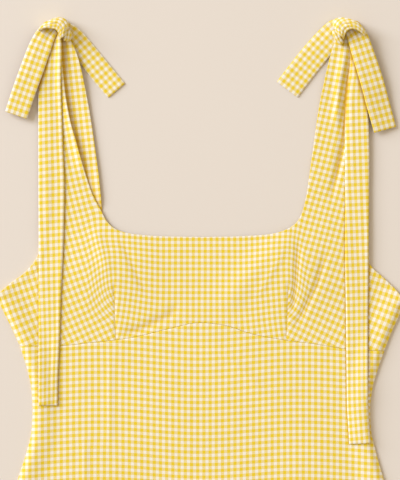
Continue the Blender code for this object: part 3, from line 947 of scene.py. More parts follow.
def pillow_data(centre, half_thickness, grain, shade_paint=None):
    """A closed flattened form round a grid of points, with no thickness at its border, shade painted along
    that border and over all its underside.
    """
    rows, columns = half_thickness.shape
    across = np.gradient(centre, axis=1)
    along = np.gradient(centre, axis=0)
    normal = units(np.cross(across, along))
    if normal[..., 2].sum() < 0:
        centre, half_thickness = centre[:, ::-1], half_thickness[:, ::-1]
        shade_paint = None if shade_paint is None else shade_paint[:, ::-1]
        normal, grain = -normal[:, ::-1], grain[:, ::-1]
    lift = normal * half_thickness[..., None]
    corners = np.vstack([(centre + lift).reshape(-1, 3), (centre - lift).reshape(-1, 3)])
    upper = grid_faces(rows, columns)
    lower = grid_faces(rows, columns, rows * columns, turned=True)
    flat = grain.reshape(-1, 2)
    width = flat[:, 0].max() - flat[:, 0].min()
    under = np.column_stack([2 * width - flat[:, 0], flat[:, 1]])
    uvs = np.vstack([flat[upper.ravel()], under[(lower - rows * columns).ravel()]])
    edge_shade = EDGE_PAINTED_SHADE * (half_thickness < EDGE_SLACK)
    painted_shade = np.concatenate([(edge_shade if shade_paint is None else edge_shade + shade_paint).ravel(), np.ones(rows * columns)])
    return corners, np.vstack([upper, lower]), uvs, painted_shade


def joined_pillows(name, parts, material):
    corners, faces, uvs, painted_shade = [], [], [], []
    count = 0
    for part_corners, part_faces, part_uvs, part_painted_shade in parts:
        corners.append(part_corners)
        faces += (part_faces + count).tolist()
        uvs.append(part_uvs)
        painted_shade.append(part_painted_shade)
        count += len(part_corners)
    return mesh_object(name, np.vstack(corners), faces, np.vstack(uvs), material, np.concatenate(painted_shade))


def ramp(low, high, value):
    """Between a straight and a soft step, so that checks in it stay even."""
    part = np.clip((value - low) / (high - low), 0.0, 1.0)
    return (part + part * part * (3 - 2 * part)) / 2


def turned_grain(side, x, y):
    """Columns that follow the strap's guide line, X outward."""
    guide_y = np.arange(GRAIN_TURNS[0].y, GRAIN_TURNS[-1].y, 1.0)
    slope = np.tan(np.radians(column_at(GRAIN_TURNS, "y", SIDE_WORDS[side], guide_y)))
    guide_x = np.cumsum(slope)
    guide_x += CUP_GRAINS[side].guide_x - np.interp(GUIDE_Y, guide_y, guide_x)
    along = np.cumsum(np.sqrt(1 + slope * slope))
    nearest = np.zeros(x.shape, int)
    best = np.full(x.shape, np.inf)
    for k in range(0, len(guide_y), 2):
        gap = (x - guide_x[k]) ** 2 + (y - guide_y[k]) ** 2
        closer = gap < best
        nearest[closer] = k
        best[closer] = gap[closer]
    size = np.hypot(slope[nearest], 1.0)
    way_x, way_y = slope[nearest] / size, 1 / size
    off_x, off_y = x - guide_x[nearest], y - guide_y[nearest]
    u = (off_x * way_y - off_y * way_x) * STRAP_CHECKS_ACROSS
    v = (along[nearest] + off_x * way_x + off_y * way_y) * STRAP_CHECKS_ALONG
    return u, v


def upright_grain(side, x, y):
    """Upright columns at the centre front, that close up and lean in the cup's inner half."""
    cup = CUP_GRAINS[side]
    below_neck = NECK_SHARE + (1 - NECK_SHARE) * (1 - ease(CUP_FULL_Y, NECK_FADE_Y, y))
    inward = ease(CUP_FROM_X, CUP_FULL_X, x) * below_neck
    down = np.clip(LEAN_TOP_Y - y, 0.0, None)
    leaning = math.tan(math.radians(cup.lean)) * down * down / (2 * LEAN_LENGTH)
    u = x + cup.close_up * inward - leaning * ramp(LEAN_FROM_X, LEAN_FULL_X, x)
    return u * BODICE_CHECKS, (y - cup.row_rise * inward) * BODICE_CHECKS


def side_grain(side, x, y, centre_x, centre_y):
    """Grain of one half of the front bodice, X outward."""
    cup = CUP_GRAINS[side]
    word = SIDE_WORDS[side]
    pivot = np.array([cup.pivot_x]), np.array([cup.pivot_y])
    turned, upright = turned_grain(side, x, y), upright_grain(side, x, y)
    there, here = turned_grain(side, *pivot), upright_grain(side, *pivot)
    middle = column_at(GRAIN_CHANGES, "y", word, y)
    half = column_at(GRAIN_CHANGES, "y", word + "_half", y)
    outward = ramp(-1.0, 1.0, (x - middle) / half)
    below = centre_y < DART_TIP_Y
    outer_face = centre_x > dart_x(centre_y)
    settled = 1 - (1 - outward) * (1 - ease(0.0, OUTER_FACE_REACH, DART_TIP_Y - y))
    outward = np.where(below, np.where(outer_face, settled, 0.0), outward)
    shifts = TURNED_GRAIN_SHIFTS[side]
    u, v = (
        up + (turn + here_at - there_at + shift - up) * outward
        for up, turn, here_at, there_at, shift in zip(upright, turned, here, there, shifts)
    )
    return np.column_stack([u * side, v]) + BODICE_GRAIN_SHIFT


def front_grain(points, centres):
    """Grain of the front bodice: upright at the centre front, turned along straps and outer cups."""
    moved = crowded(points, BODICE_CREASES)
    grain = np.zeros(points.shape)
    for side in (LEFT, RIGHT):
        mine = centres[:, 0] * side > 0
        x, y = moved[mine, 0] * side, moved[mine, 1]
        grain[mine] = side_grain(side, x, y, centres[mine, 0] * side, centres[mine, 1])
    return grain


def skirt_grain(points, centres):
    moved = crowded(points, SKIRT_CREASES)
    x, y = moved.T
    wave = SKIRT_WAVE / 2 * (1 - np.cos(math.pi * x / SKIRT_WAVE_REACH))
    share = HEM_WAVE_SHARE + (1 - HEM_WAVE_SHARE) * ease(*WAVE_GROWS, y)
    return np.column_stack([x, y - wave * share]) + SKIRT_GRAIN_SHIFT


def plain_grain(points, centres):
    return points


def rung_edge(side, edge, first=0):
    """The bodice's inner or outer edge, from a rung up to the knot."""
    table = BODICES[side]
    rungs = columns_at(table, np.linspace(first, len(table) - 1, EDGE_POINTS))
    x, y = (getattr(rungs, edge + axis) for axis in ("_x", "_y"))
    return np.column_stack([side * x, y])


def neck_edge(side):
    """The front's neck edge, from the neckline's corner up to the knot."""
    return rung_edge(side, "inner", NECKLINE_RUNG)


def bodice_outline():
    xs = np.linspace(SEAM[0].x, SEAM[-1].x, SEAM_POINTS)
    seam = np.column_stack([xs, seam_y(xs) + SEAM_GAP / 2])
    right_outer = rung_edge(RIGHT, "outer")
    left_outer = rung_edge(LEFT, "outer")
    right_inner = rung_edge(RIGHT, "inner", NECKLINE_RUNG)
    left_inner = rung_edge(LEFT, "inner", NECKLINE_RUNG)
    right_outer[0], left_outer[0] = seam[-1], seam[0]
    runs = (
        seam,
        right_outer,
        (right_outer[-1], right_inner[-1]),
        right_inner[::-1],
        left_inner,
        (left_inner[-1], left_outer[-1]),
        left_outer[::-1],
    )
    return closed_outline(runs)


def dart_lines():
    """The darts' lines from just above the under-bust seam to their tips."""
    lines = []
    for side in (LEFT, RIGHT):
        y = np.arange(LEFT_BODICE[0].middle_y + SEAM_CLEAR, DART_TIP_Y, OUTLINE_STEP)
        lines.append(np.column_stack([side * dart_x(y), y]))
    return lines


def tie_edge_lines(low, high):
    """The neck-side edges of the long ties where they cross a panel, between two heights."""
    lines = []
    for side in (LEFT, RIGHT):
        table = LONG_TIES[side][::-1]
        y = np.arange(max(low, table[0].y), min(high, TIE_EDGE_TOP_Y[side]), OUTLINE_STEP)
        x = column_at(table, "y", "x", y) - column_at(table, "y", "half_width", y)
        lines.append(np.column_stack([side * x, y]))
    return lines


def skirt_side(side):
    down = np.linspace(0.0, 1.0, SIDE_POINTS)
    top = SEAM[0].y if side == LEFT else SEAM[-1].y
    level = top + (WIDTHS[0].y - top) * down
    x = side * half_width(side, level)
    from_seam = (seam_y(x) - SEAM_GAP / 2 - top) * (1 - ease(0, SEAM_PULL_TO, down))
    from_hem = (hem_rise(x) - HEM_CURVE) * ease(HEM_PULL_FROM, 1, down)
    return np.column_stack([x, level + from_seam + from_hem])


def skirt_outline():
    left, right = skirt_side(LEFT), skirt_side(RIGHT)
    hem_x = np.linspace(left[-1, 0], right[-1, 0], HEM_POINTS)
    hem = np.column_stack([hem_x, HEM_Y + hem_rise(hem_x)])
    top_x = np.linspace(right[0, 0], left[0, 0], HEM_POINTS)
    top = np.column_stack([top_x, seam_y(top_x) - SEAM_GAP / 2])
    hem[0], hem[-1] = left[-1], right[-1]
    top[0], top[-1] = right[0], left[0]
    return closed_outline((hem, right[::-1], top, left))


def back_outline():
    levels = np.linspace(WIDTHS[0].y, WIDTHS[-1].y, SEAM_POINTS)
    sides = {}
    for side in (RIGHT, LEFT):
        edge = np.column_stack([side * half_width(side, levels), levels])
        upper = rung_edge(side, "outer")
        above_seam = upper[:, 1] > WIDTHS[-1].y + UNDERARM_CLEAR
        upper = upper[above_seam & (upper[:, 1] < BACK_NECK_Y - BACK_NECK_CLEAR)]
        root = (side * BACK_STRAPS[side][0].outer_x, BACK_NECK_Y)
        sides[side] = np.vstack([edge, upper, [root]])
    hem_x = np.linspace(-WIDTHS[0].left, WIDTHS[0].left, HEM_POINTS)
    hem = np.column_stack([hem_x, HEM_Y + hem_rise(hem_x)])
    top = (sides[RIGHT][-1], sides[LEFT][-1])
    return closed_outline((hem, sides[RIGHT], top, sides[LEFT][::-1]), BACK_OUTLINE_STEP)


def band_shares(columns):
    """Places across a band from -1 to 1, closer at its edges."""
    return np.sin(np.linspace(-math.pi / 2, math.pi / 2, columns))


def tie_stations(length):
    """Distances along a tie, closer at its ends."""
    close = np.array(TIE_END_STEPS)
    middle = np.linspace(close[-1], length - close[-1], int(length / TIE_STEP))
    return np.concatenate([close[:-1], middle, (length - close[:-1])[::-1]])


def tie_plan(side, table):
    """Stations along a tie, offsets across it, its grid in plan and, if it is stated, its underside."""
    fine = columns_at(table, np.linspace(0, len(table) - 1, TIE_LINE_POINTS))
    line = np.column_stack([side * fine.x, fine.y])
    along = running_length(line)
    stations = tie_stations(along[-1])
    middle = np.column_stack([np.interp(stations, along, line[:, k]) for k in (0, 1)])
    across = left_of(units(np.gradient(middle, stations, axis=0)))
    offset = np.interp(stations, along, fine.half_width)[:, None] * band_shares(TIE_COLUMNS)
    plan = middle[:, None, :] + offset[..., None] * across[:, None, :]
    low = np.interp(stations, along, fine.z)[:, None] if "z" in fine._fields else None
    return stations, offset, plan, low


def tie_relief(stations, shares, half, looks):
    """How a tie's mid surface leaves the flat: pleats at the knot, sway, puff, droop and creases."""
    stations = stations[:, None]
    near_knot = 1 - ease(PLEAT_FROM, looks.pleat_reach, stations)
    pleats = looks.pleat * near_knot * np.cos(2 * math.pi * shares + looks.phase)
    sway = looks.sway * np.sin(stations / looks.sway_length + looks.phase) * shares
    height = pleats * (1 - np.abs(shares) ** 3) + looks.puff * (1 - shares**2) + np.abs(sway)
    height = height - looks.droop * (1 + shares) / 2 * ease(*DROOP_REACH, stations)
    for crease in looks.creases:
        window = crease_window((stations - crease.start) / (crease.end - crease.start))
        height = height + crease.height * bell((shares - crease.at) * half, crease.half_width) * window
    return height


def tie_form(side, table, underside, looks):
    """The grid of a flattened tie: mid surface, half thickness and grain, all in millimetres."""
    stations, offset, plan, low = tie_plan(side, table)
    if low is None:
        low = underside(plan.reshape(-1, 2)).reshape(offset.shape)
    shares, reach = band_shares(TIE_COLUMNS), offset[:, -1:]
    from_end = np.minimum(stations, stations[-1] - stations)[:, None]
    half = rounding(reach - np.abs(offset), TIE_ROUNDING) * rounding(from_end, TIE_ROUNDING) * TIE_CLOTH / 2
    z = low + half + tie_relief(stations, shares, reach.max(), looks)
    drift = CHECK / MM * ease(*looks.drift, stations)[:, None] if looks.drift else 0.0
    u = shares * looks.cloth_half * looks.checks_across - drift
    v = stations[:, None] * looks.checks_along + u * math.tan(math.radians(looks.row_tilt))
    grain = np.stack(np.broadcast_arrays(u, v), axis=-1) + looks.shift
    return np.dstack([plan, z[..., None]]), half, grain


def back_strap_form(side):
    """The grid of a back strap, as tie_form gives it, and the shade painted on it beside the front strap's
    edge.
    """
    table = BACK_STRAPS[side]
    fine = columns_at(table, np.linspace(0, len(table) - 1, STRAP_LINE_POINTS))
    shares = (band_shares(STRAP_COLUMNS) + 1) / 2
    inner, reach = fine.inner_x[:, None], (fine.outer_x - fine.inner_x)[:, None]
    x = inner + reach * shares
    y = np.repeat(fine.y[:, None], len(shares), axis=1)
    front = neck_edge(side)
    front_x = np.interp(fine.y, front[:, 1], front[:, 0] * side)[:, None]
    bare = np.clip((front_x - x) / np.maximum(front_x - inner, 1.0), 0.0, 1.0)
    curl = BACK_CURL * ease(0.0, BACK_CURL_WIDTH, front_x - inner) * ease(0.0, 1.0, bare)
    z = strap_rise(y) + CLOTH / 2 + curl + STRAP_JOIN * bell(y - STRAP_JOIN_Y, STRAP_JOIN_HALF)
    shade_paint = FRONT_SHADE * bell(np.abs(front_x - x), FRONT_SHADE_REACH)
    from_end = np.minimum(fine.y - fine.y[0], fine.y[-1] - fine.y)[:, None]
    full = rounding(np.minimum(shares, 1 - shares) * reach, EDGE_ROUNDING) * rounding(from_end, EDGE_ROUNDING)
    turn = math.radians(BACK_STRAP_TURN)
    u = x * math.cos(turn) - y * math.sin(turn)
    v = x * math.sin(turn) + y * math.cos(turn)
    grain = np.dstack([side * u * STRAP_CHECKS_ACROSS, v * STRAP_CHECKS_ALONG])
    return np.dstack([side * x, y, z]), full * CLOTH / 2, grain, shade_paint


def lump_height(x, y, size):
    """Height of a lump over the knot's middle, steep at its rim."""
    part = (x / (KNOT_WIDTH / 2 * size)) ** 2 + (y / (KNOT_DEPTH / 2 * size)) ** 2
    return np.sqrt(np.clip(1 - part, 0.0, 1.0))


def band_surface(side, place, across, top):
    """Mid surface, width and painted trough shade of a strip that runs from its slit over the lump."""
    shares = np.clip(across / DRAPE_FROM, 0.0, 1.0)
    falling = np.clip((across - DRAPE_FROM) / (1 - DRAPE_FROM), 0.0, 1.0) * math.pi / 2
    width_x, width_y = place.far_x - place.near_x, place.far_y - place.near_y
    width = np.hypot(width_x, width_y)
    x = place.near_x + width_x * (shares + DRAPE_OUT * np.sin(falling) / width)
    y = place.near_y + width_y * (shares + DRAPE_OUT * np.sin(falling) / width)
    swell = np.sin(math.pi * shares)
    pleats = np.cos(2 * math.pi * BAND_PLEATS * shares)
    z = KNOT_WAIST_Z + (top - KNOT_WAIST_Z) * lump_height(x, y, BAND_SPREAD)
    z = z + BAND_CROWN * swell + BAND_PLEAT * pleats * swell
    z = z - place.near_drop * (1 - ease(0.0, NEAR_DROP_WIDTH, shares))
    z = place.far_base + (z - place.far_base) * np.cos(falling)
    pleat_shade = BAND_TROUGH_SHADE * np.clip(-pleats, 0.0, 1.0) ** 3 * swell
    centre = np.dstack([side * (KNOT_X[side] - BAND_INWARD) + x, KNOT_Y - BAND_DOWN + y, z])
    return centre, width / DRAPE_FROM, pleat_shade


def band_form(side, table, top, rows=80, columns=33):
    """The grid of one strip of a knot, as pillow_data takes it."""
    place = columns_at(table, np.linspace(0, len(table) - 1, rows))
    place = type(place)(*(column[:, None] for column in place))
    across = (band_shares(columns) + 1) / 2
    centre, width, pleat_shade = band_surface(side, place, across, top)
    ends = np.linspace(0.0, 1.0, rows)[:, None]
    half = rounding(np.minimum(across, 1 - across) * width, BAND_ROUNDING) * BAND_CLOTH / 2
    half = half * rounding(np.minimum(ends, 1 - ends), BAND_END_SHARE)
    middle = centre[:, columns // 2]
    along = np.concatenate([[0.0], np.cumsum(np.linalg.norm(np.diff(middle, axis=0), axis=1))])
    over = np.linalg.norm(np.diff(centre, axis=1), axis=2)
    u = np.concatenate([np.zeros((rows, 1)), np.cumsum(over, axis=1)], axis=1) * BAND_CHECKS_ACROSS
    grain = np.dstack([u, np.repeat(along[:, None] * BAND_CHECKS_ALONG, columns, axis=1)])
    return centre, half, grain, np.broadcast_to(pleat_shade, half.shape)


def lump_data(side, size, top, rings=40, segments=72):
    """The knot's core, a creased lump that rests on the surface, its colour painted evenly into shade."""
    tilt = np.linspace(-math.pi / 2, math.pi / 2, rings)[:, None]
    turn = np.linspace(0, 2 * math.pi, segments)
    ripple = 1 + LUMP_RIPPLE * np.cos(5 * turn + 2 * np.sin(turn)) * np.cos(tilt)
    x = KNOT_WIDTH / 2 * size * np.cos(tilt) * np.cos(turn) * ripple
    y = KNOT_DEPTH / 2 * size * np.cos(tilt) * np.sin(turn) * ripple
    middle = top / 3
    z = np.maximum(middle + (top - middle) * np.sin(tilt) * np.ones_like(x), 0.0)
    corners = np.dstack([side * KNOT_X[side] + x, KNOT_Y + y, z]).reshape(-1, 3)
    faces = grid_faces(rings, segments)
    return corners, faces, corners[:, :2][faces.ravel()], np.full(len(corners), LUMP_SHADE)


def knot_piece(side, material):
    lobe = band_form(side, KNOT_LOBES[side], LOBE_TOP, rows=36, columns=21)
    parts = [
        lump_data(side, LUMP_SIZE, LUMP_TOP),
        pillow_data(*band_form(side, KNOT_BANDS[side], BAND_TOP)),
        pillow_data(*lobe),
    ]
    return joined_pillows("knot_gathered_" + SIDE_WORDS[side], parts, material)


def linear(level):
    """A screen level from 0 to 255 as a linear colour value."""
    part = level / 255
    return part / 12.92 if part <= 0.04045 else ((part + 0.055) / 1.055) ** 2.4


def paint(levels):
    return (*(linear(level) for level in levels), 1.0)


def feed(tree, node, inputs):
    """Sets each input of a node to a value or links it from a socket, and gives back its outputs."""
    for name, value in inputs.items():
        if isinstance(value, bpy.types.NodeSocket):
            tree.links.new(value, node.inputs[name])
        else:
            node.inputs[name].default_value = value
    return node.outputs


def added(tree, kind, inputs):
    return feed(tree, tree.nodes.new(kind), inputs)


def maths(tree, operation, *values):
    node = tree.nodes.new("ShaderNodeMath")
    node.operation = operation
    return feed(tree, node, dict(enumerate(values)))[0]


def remapped(tree, value, low, high, to_low=0.0, to_high=1.0):
    node = tree.nodes.new("ShaderNodeMapRange")
    node.interpolation_type = "SMOOTHSTEP"
    ends = {"From Min": low, "From Max": high, "To Min": to_low, "To Max": to_high}
    return feed(tree, node, {"Value": value, **ends})[0]


def blended(tree, factor, first, second, mode="MIX"):
    """A colour Mix node. Colours are RGBA values or sockets."""
    node = tree.nodes.new("ShaderNodeMix")
    node.data_type = "RGBA"
    node.blend_type = mode
    return feed(tree, node, {0: factor, 6: first, 7: second})[2]


def noise(tree, vector, scale, detail=2.0, roughness=0.5):
    inputs = {"Vector": vector, "Scale": scale, "Detail": detail, "Roughness": roughness}
    return added(tree, "ShaderNodeTexNoise", inputs)["Fac"]


def scaled(tree, vector, factors):
    return added(tree, "ShaderNodeMapping", {"Vector": vector, "Scale": factors})[0]


def grey(tree, value):
    return added(tree, "ShaderNodeCombineColor", {0: value, 1: value, 2: value})[0]


def bump(tree, height, distance, strength=1.0, below=None):
    inputs = {"Height": height, "Distance": distance, "Strength": strength}
    if below is not None:
        inputs["Normal"] = below
    return added(tree, "ShaderNodeBump", inputs)[0]


def new_group(name, inputs, outputs):
    """A shader node group, the sockets that it is given and its output node."""
    group = bpy.data.node_groups.new(name, "ShaderNodeTree")
    for label, kind, value in inputs:
        socket = group.interface.new_socket(label, in_out="INPUT", socket_type="NodeSocket" + kind)
        if value is not None:
            socket.default_value = value
    for label, kind in outputs:
        group.interface.new_socket(label, in_out="OUTPUT", socket_type="NodeSocket" + kind)
    given = group.nodes.new("NodeGroupInput").outputs
    return group, given, group.nodes.new("NodeGroupOutput")


def stripe_and_wave(group, place, given):
    """One way of the cloth: its stripe from 0 to 1 and the wave of its threads."""
    turn = maths(group, "DIVIDE", maths(group, "MULTIPLY", place, 2 * math.pi), given["Check"])
    thread = maths(group, "DIVIDE", maths(group, "MULTIPLY", place, math.pi), given["Thread"])
    stripe = remapped(group, maths(group, "COSINE", turn), -CHECK_BLUR, CHECK_BLUR)
    return stripe, maths(group, "SINE", thread)


def gingham_group():
    """Woven checks: yellow and white yarns in both ways, each crossing one over one."""
    inputs = (
        ("Grain", "Vector", None),
        ("Check", "Float", CHECK),
        ("Thread", "Float", THREAD),
        ("Yarn", "Color", paint(YARN_YELLOW)),
        ("Ground", "Color", paint(YARN_WHITE)),
        ("Crossing", "Float", THREAD_CROSSING),
        ("Slub", "Float", SLUB),
    )
    outputs = (("Colour", "Color"), ("Height", "Float"), ("Yarn Mask", "Float"))
    group, given, out = new_group("woven gingham", inputs, outputs)
    split = added(group, "ShaderNodeSeparateXYZ", {0: given["Grain"]})
    stripes, waves = zip(*(stripe_and_wave(group, place, given) for place in (split[0], split[1])))
    crossing = maths(group, "MULTIPLY", *waves)
    over = remapped(group, crossing, -THREAD_BLUR, THREAD_BLUR, -1.0, 1.0)
    over = maths(group, "MULTIPLY_ADD", over, given["Crossing"], 0.5)
    gap = maths(group, "SUBTRACT", *stripes)
    mask = maths(group, "MULTIPLY_ADD", gap, over, stripes[1])
    lift = maths(group, "POWER", maths(group, "MAXIMUM", mask, 0.0), HALF_TONE_POWER)
    slubs = [noise(group, scaled(group, given["Grain"], way), 1.0, 1.0) for way in SLUB_WAYS]
    slub = maths(group, "SUBTRACT", maths(group, "ADD", *slubs), 1.0)
    shade = grey(group, maths(group, "MULTIPLY_ADD", slub, given["Slub"], 1.0))
    colour = blended(group, lift, given["Ground"], given["Yarn"])
    bulge = maths(group, "MAXIMUM", *(maths(group, "ABSOLUTE", wave) for wave in waves))
    height = maths(group, "ADD", maths(group, "MULTIPLY", crossing, 0.5), bulge)
    colour = blended(group, 1.0, colour, shade, "MULTIPLY")
    feed(group, out, {"Colour": colour, "Height": height, "Yarn Mask": mask})
    return group


def rumple_group():
    """Slow unevenness of worn-in cotton: a shade for the colour and a height for the bump."""
    inputs = (("Place", "Vector", None), ("Depth", "Float", PANEL_RUMPLE))
    outputs = (("Shade", "Color"), ("Height", "Float"))
    group, given, out = new_group("cotton rumple", inputs, outputs)
    broad = noise(group, given["Place"], *RUMPLE_BROAD)
    fine = noise(group, given["Place"], *RUMPLE_FINE)
    level = maths(group, "MULTIPLY_ADD", maths(group, "SUBTRACT", broad, 0.5), given["Depth"], 1.0)
    height = maths(group, "MULTIPLY_ADD", fine, RUMPLE_FINE_SHARE, broad)
    feed(group, out, {"Shade": grey(group, level), "Height": height})
    return group


def group_node(tree, group, inputs):
    node = tree.nodes.new("ShaderNodeGroup")
    node.node_tree = group
    return feed(tree, node, inputs)


def new_material(name):
    """A material, its node tree, its shader and the Object coordinates."""
    material = bpy.data.materials.new(name)
    material.use_nodes = True
    tree = material.node_tree
    place = tree.nodes.new("ShaderNodeTexCoord").outputs["Object"]
    return material, tree, tree.nodes["Principled BSDF"], place


def gingham_cotton(name, groups, rumple_depth):
    material, tree, shader, place = new_material(name)
    gingham, rumple = groups
    grain = tree.nodes.new("ShaderNodeUVMap")
    grain.uv_map = "Grain"
    woven = group_node(tree, gingham, {"Grain": grain.outputs[0]})
    worn = group_node(tree, rumple, {"Place": place, "Depth": rumple_depth})
    colour = blended(tree, 1.0, woven["Colour"], worn["Shade"], "MULTIPLY")
    # Painted shade: the colour is darkened toward an ochre tint wherever the mesh's painted shade attribute
    # says shade falls.
    shade_paint = tree.nodes.new("ShaderNodeAttribute")
    shade_paint.attribute_name = "painted_shade"
    in_shade = blended(tree, 1.0, colour, PAINTED_SHADE_TINT, "MULTIPLY")
    soft = bump(tree, worn["Height"], RUMPLE_BUMP, 0.6)
    looks = {
        "Base Color": blended(tree, shade_paint.outputs["Fac"], colour, in_shade),
        "Normal": bump(tree, woven["Height"], THREAD_BUMP, 0.5, soft),
        "Roughness": remapped(tree, woven["Yarn Mask"], 0.0, 1.0, 0.86, 0.78),
        "Sheen Weight": 0.12,
        "Sheen Roughness": 0.5,
        "Specular IOR Level": 0.25,
    }
    feed(tree, shader, looks)
    return material


def floor_material():
    material, tree, shader, place = new_material("matt paper floor")
    base = paint(FLOOR_COLOUR)
    darker = (*(value * FLOOR_MOTTLE for value in base[:3]), 1.0)
    looks = {
        "Base Color": blended(tree, noise(tree, place, 2.4, 3.0), darker, base),
        "Normal": bump(tree, noise(tree, place, 900.0, 2.0), 0.0002, 0.25),
        "Roughness": 0.9,
        "Specular IOR Level": 0.15,
    }
    feed(tree, shader, looks)
    return material


def thread_material():
    material, tree, shader, place = new_material("cotton thread")
    fibre = noise(tree, scaled(tree, place, (2500.0, 2500.0, 2500.0)), 1.0)
    looks = {
        "Base Color": blended(tree, fibre, paint(THREAD_DARK), paint(THREAD_LIGHT)),
        "Normal": bump(tree, fibre, THREAD_BUMP, 0.4),
        "Roughness": 0.7,
        "Sheen Weight": 0.15,
    }
    feed(tree, shader, looks)
    return material


def make_camera():
    data = bpy.data.cameras.new("Camera")
    data.lens = LENS
    data.sensor_width = SENSOR
    camera = bpy.data.objects.new("Camera", data)
    bpy.context.scene.collection.objects.link(camera)
    bpy.context.scene.camera = camera
    view_height = PHOTO_HEIGHT * MM_PER_PIXEL * MM
    x = (PHOTO_WIDTH / 2 - CENTRE_LINE_PIXEL) * MM_PER_PIXEL * MM
    y = (ORIGIN_ROW_PIXEL - PHOTO_HEIGHT / 2) * MM_PER_PIXEL * MM
    camera.location = (x, y, view_height * LENS / SENSOR)


def make_key_light():
    data = bpy.data.lights.new("Key", "AREA")
    data.shape = "RECTANGLE"
    data.size, data.size_y = KEY_WIDTH, KEY_HEIGHT
    data.energy = KEY_POWER
    data.color = KEY_COLOUR
    light = bpy.data.objects.new("Key", data)
    light.location = KEY_PLACE
    light.rotation_mode = "QUATERNION"
    light.rotation_quaternion = (Vector(KEY_AIM) - Vector(KEY_PLACE)).to_track_quat("-Z", "Y")
    light.visible_camera = False
    bpy.context.scene.collection.objects.link(light)


def make_studio():
    world = bpy.data.worlds.new("Studio")
    world.use_nodes = True
    ambient = {"Color": (*AMBIENT_COLOUR, 1.0), "Strength": AMBIENT}
    feed(world.node_tree, world.node_tree.nodes["Background"], ambient)
    bpy.context.scene.world = world
    make_key_light()
    mesh = bpy.data.meshes.new("floor")
    corners = [(x * FLOOR_HALF, y * FLOOR_HALF, 0.0) for x, y in ((-1, -1), (1, -1), (1, 1), (-1, 1))]
    mesh.from_pydata(corners, [], [(0, 1, 2, 3)])
    mesh.materials.append(floor_material())
    floor = bpy.data.objects.new("floor", mesh)
    bpy.context.scene.collection.objects.link(floor)
    settings = bpy.context.scene.view_settings
    settings.view_transform = "Standard"
    settings.look = "None"
    settings.exposure = 0.0
    settings.gamma = 1.0


def put_on_frame(piece, node):
    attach(piece, "root")
    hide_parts(node)


def level_zero(points):
    return np.zeros(len(points))


def make_panels(cotton):
    bodice_lines = dart_lines() + tie_edge_lines(SEAM[0].y + SEAM_CLEAR, LENGTH)
    skirt_lines = tie_edge_lines(-LENGTH, SEAM[-1].y - SEAM_CLEAR)
    panels = (
        ("front_bodice", "bodice_cut", bodice_outline(), BODICE_STEP, front_underside, bodice_relief,
         bodice_painted_shade, front_grain, bodice_lines, "back_panel_cut"),
        ("front_skirt", "skirt_cut", skirt_outline(), SKIRT_STEP, front_underside, skirt_relief,
         skirt_painted_shade, skirt_grain, skirt_lines, "back_panel_cut"),
        ("back_panel", "back_panel_cut", back_outline(), UNDERSIDE_STEP, level_zero, level_zero,
         level_zero, plain_grain, (), "floor"),
    )
    for node, name, loop, spacing, underside, relief, shade_paint, grain, lines, below in panels:
        piece = cloth_panel(name, loop, spacing, underside, relief, shade_paint, grain, cotton, lines)
        put_on_frame(piece, node)


def make_back_strap(side, cotton):
    word = SIDE_WORDS[side]
    strap = joined_pillows("back_strap_cut_" + word, [pillow_data(*back_strap_form(side))], cotton)
    put_on_frame(strap, "back_strap_" + word)


def shade_on_long_tie(side, centre):
    """Shade painted on a long tie where the outer tail lies on it, and where a trough runs on beside it."""
    spots = centre[..., :2].reshape(-1, 2)
    near = TAIL_CONTACT_SHADE * beside_tie(spots, side, OUTER_TIES[side], TAIL_CONTACT_SHADE_REACH)
    shade = near + TROUGH_SHADE_ON_TIE * painted_trough_shade(spots, BODICE_CREASES)
    return shade.reshape(centre.shape[:2])


def make_ties(side, cotton):
    word = SIDE_WORDS[side]
    knot = knot_piece(side, cotton)
    put_on_frame(knot, "knot_" + word)
    ties = (
        ("long_tie_", "long_tie_cut_", LONG_TIES, LONG_TIE_LOOKS, ["bodice_cut", "skirt_cut"], [knot.name]),
        ("short_tie_outer_", "outer_tie_cut_", OUTER_TIES, OUTER_TIE_LOOKS, [knot.name], []),
        ("short_tie_inner_", "inner_tie_cut_", INNER_TIES, INNER_TIE_LOOKS, ["floor"], []),
    )
    for node, name, tables, looks, below, with_pieces in ties:
        form = tie_form(side, tables[side], lambda points: on_front(points) + GAP, looks[side])
        if tables is LONG_TIES:
            form += (shade_on_long_tie(side, form[0]),)
        tie = joined_pillows(name + word, [pillow_data(*form)], cotton)
        put_on_frame(tie, node + word)


def stitch_shape(tree, given):
    """A ball drawn out to the length of one stitch."""
    ball = added(tree, "GeometryNodeMeshUVSphere", {"Segments": 6, "Rings": 5, "Radius": 1.0})
    half = maths(tree, "MULTIPLY", given["Length"], 0.5)
    size = added(tree, "ShaderNodeCombineXYZ", {0: given["Radius"], 1: given["Radius"], 2: half})
    return added(tree, "GeometryNodeTransform", {"Geometry": ball["Mesh"], "Scale": size[0]})[0]


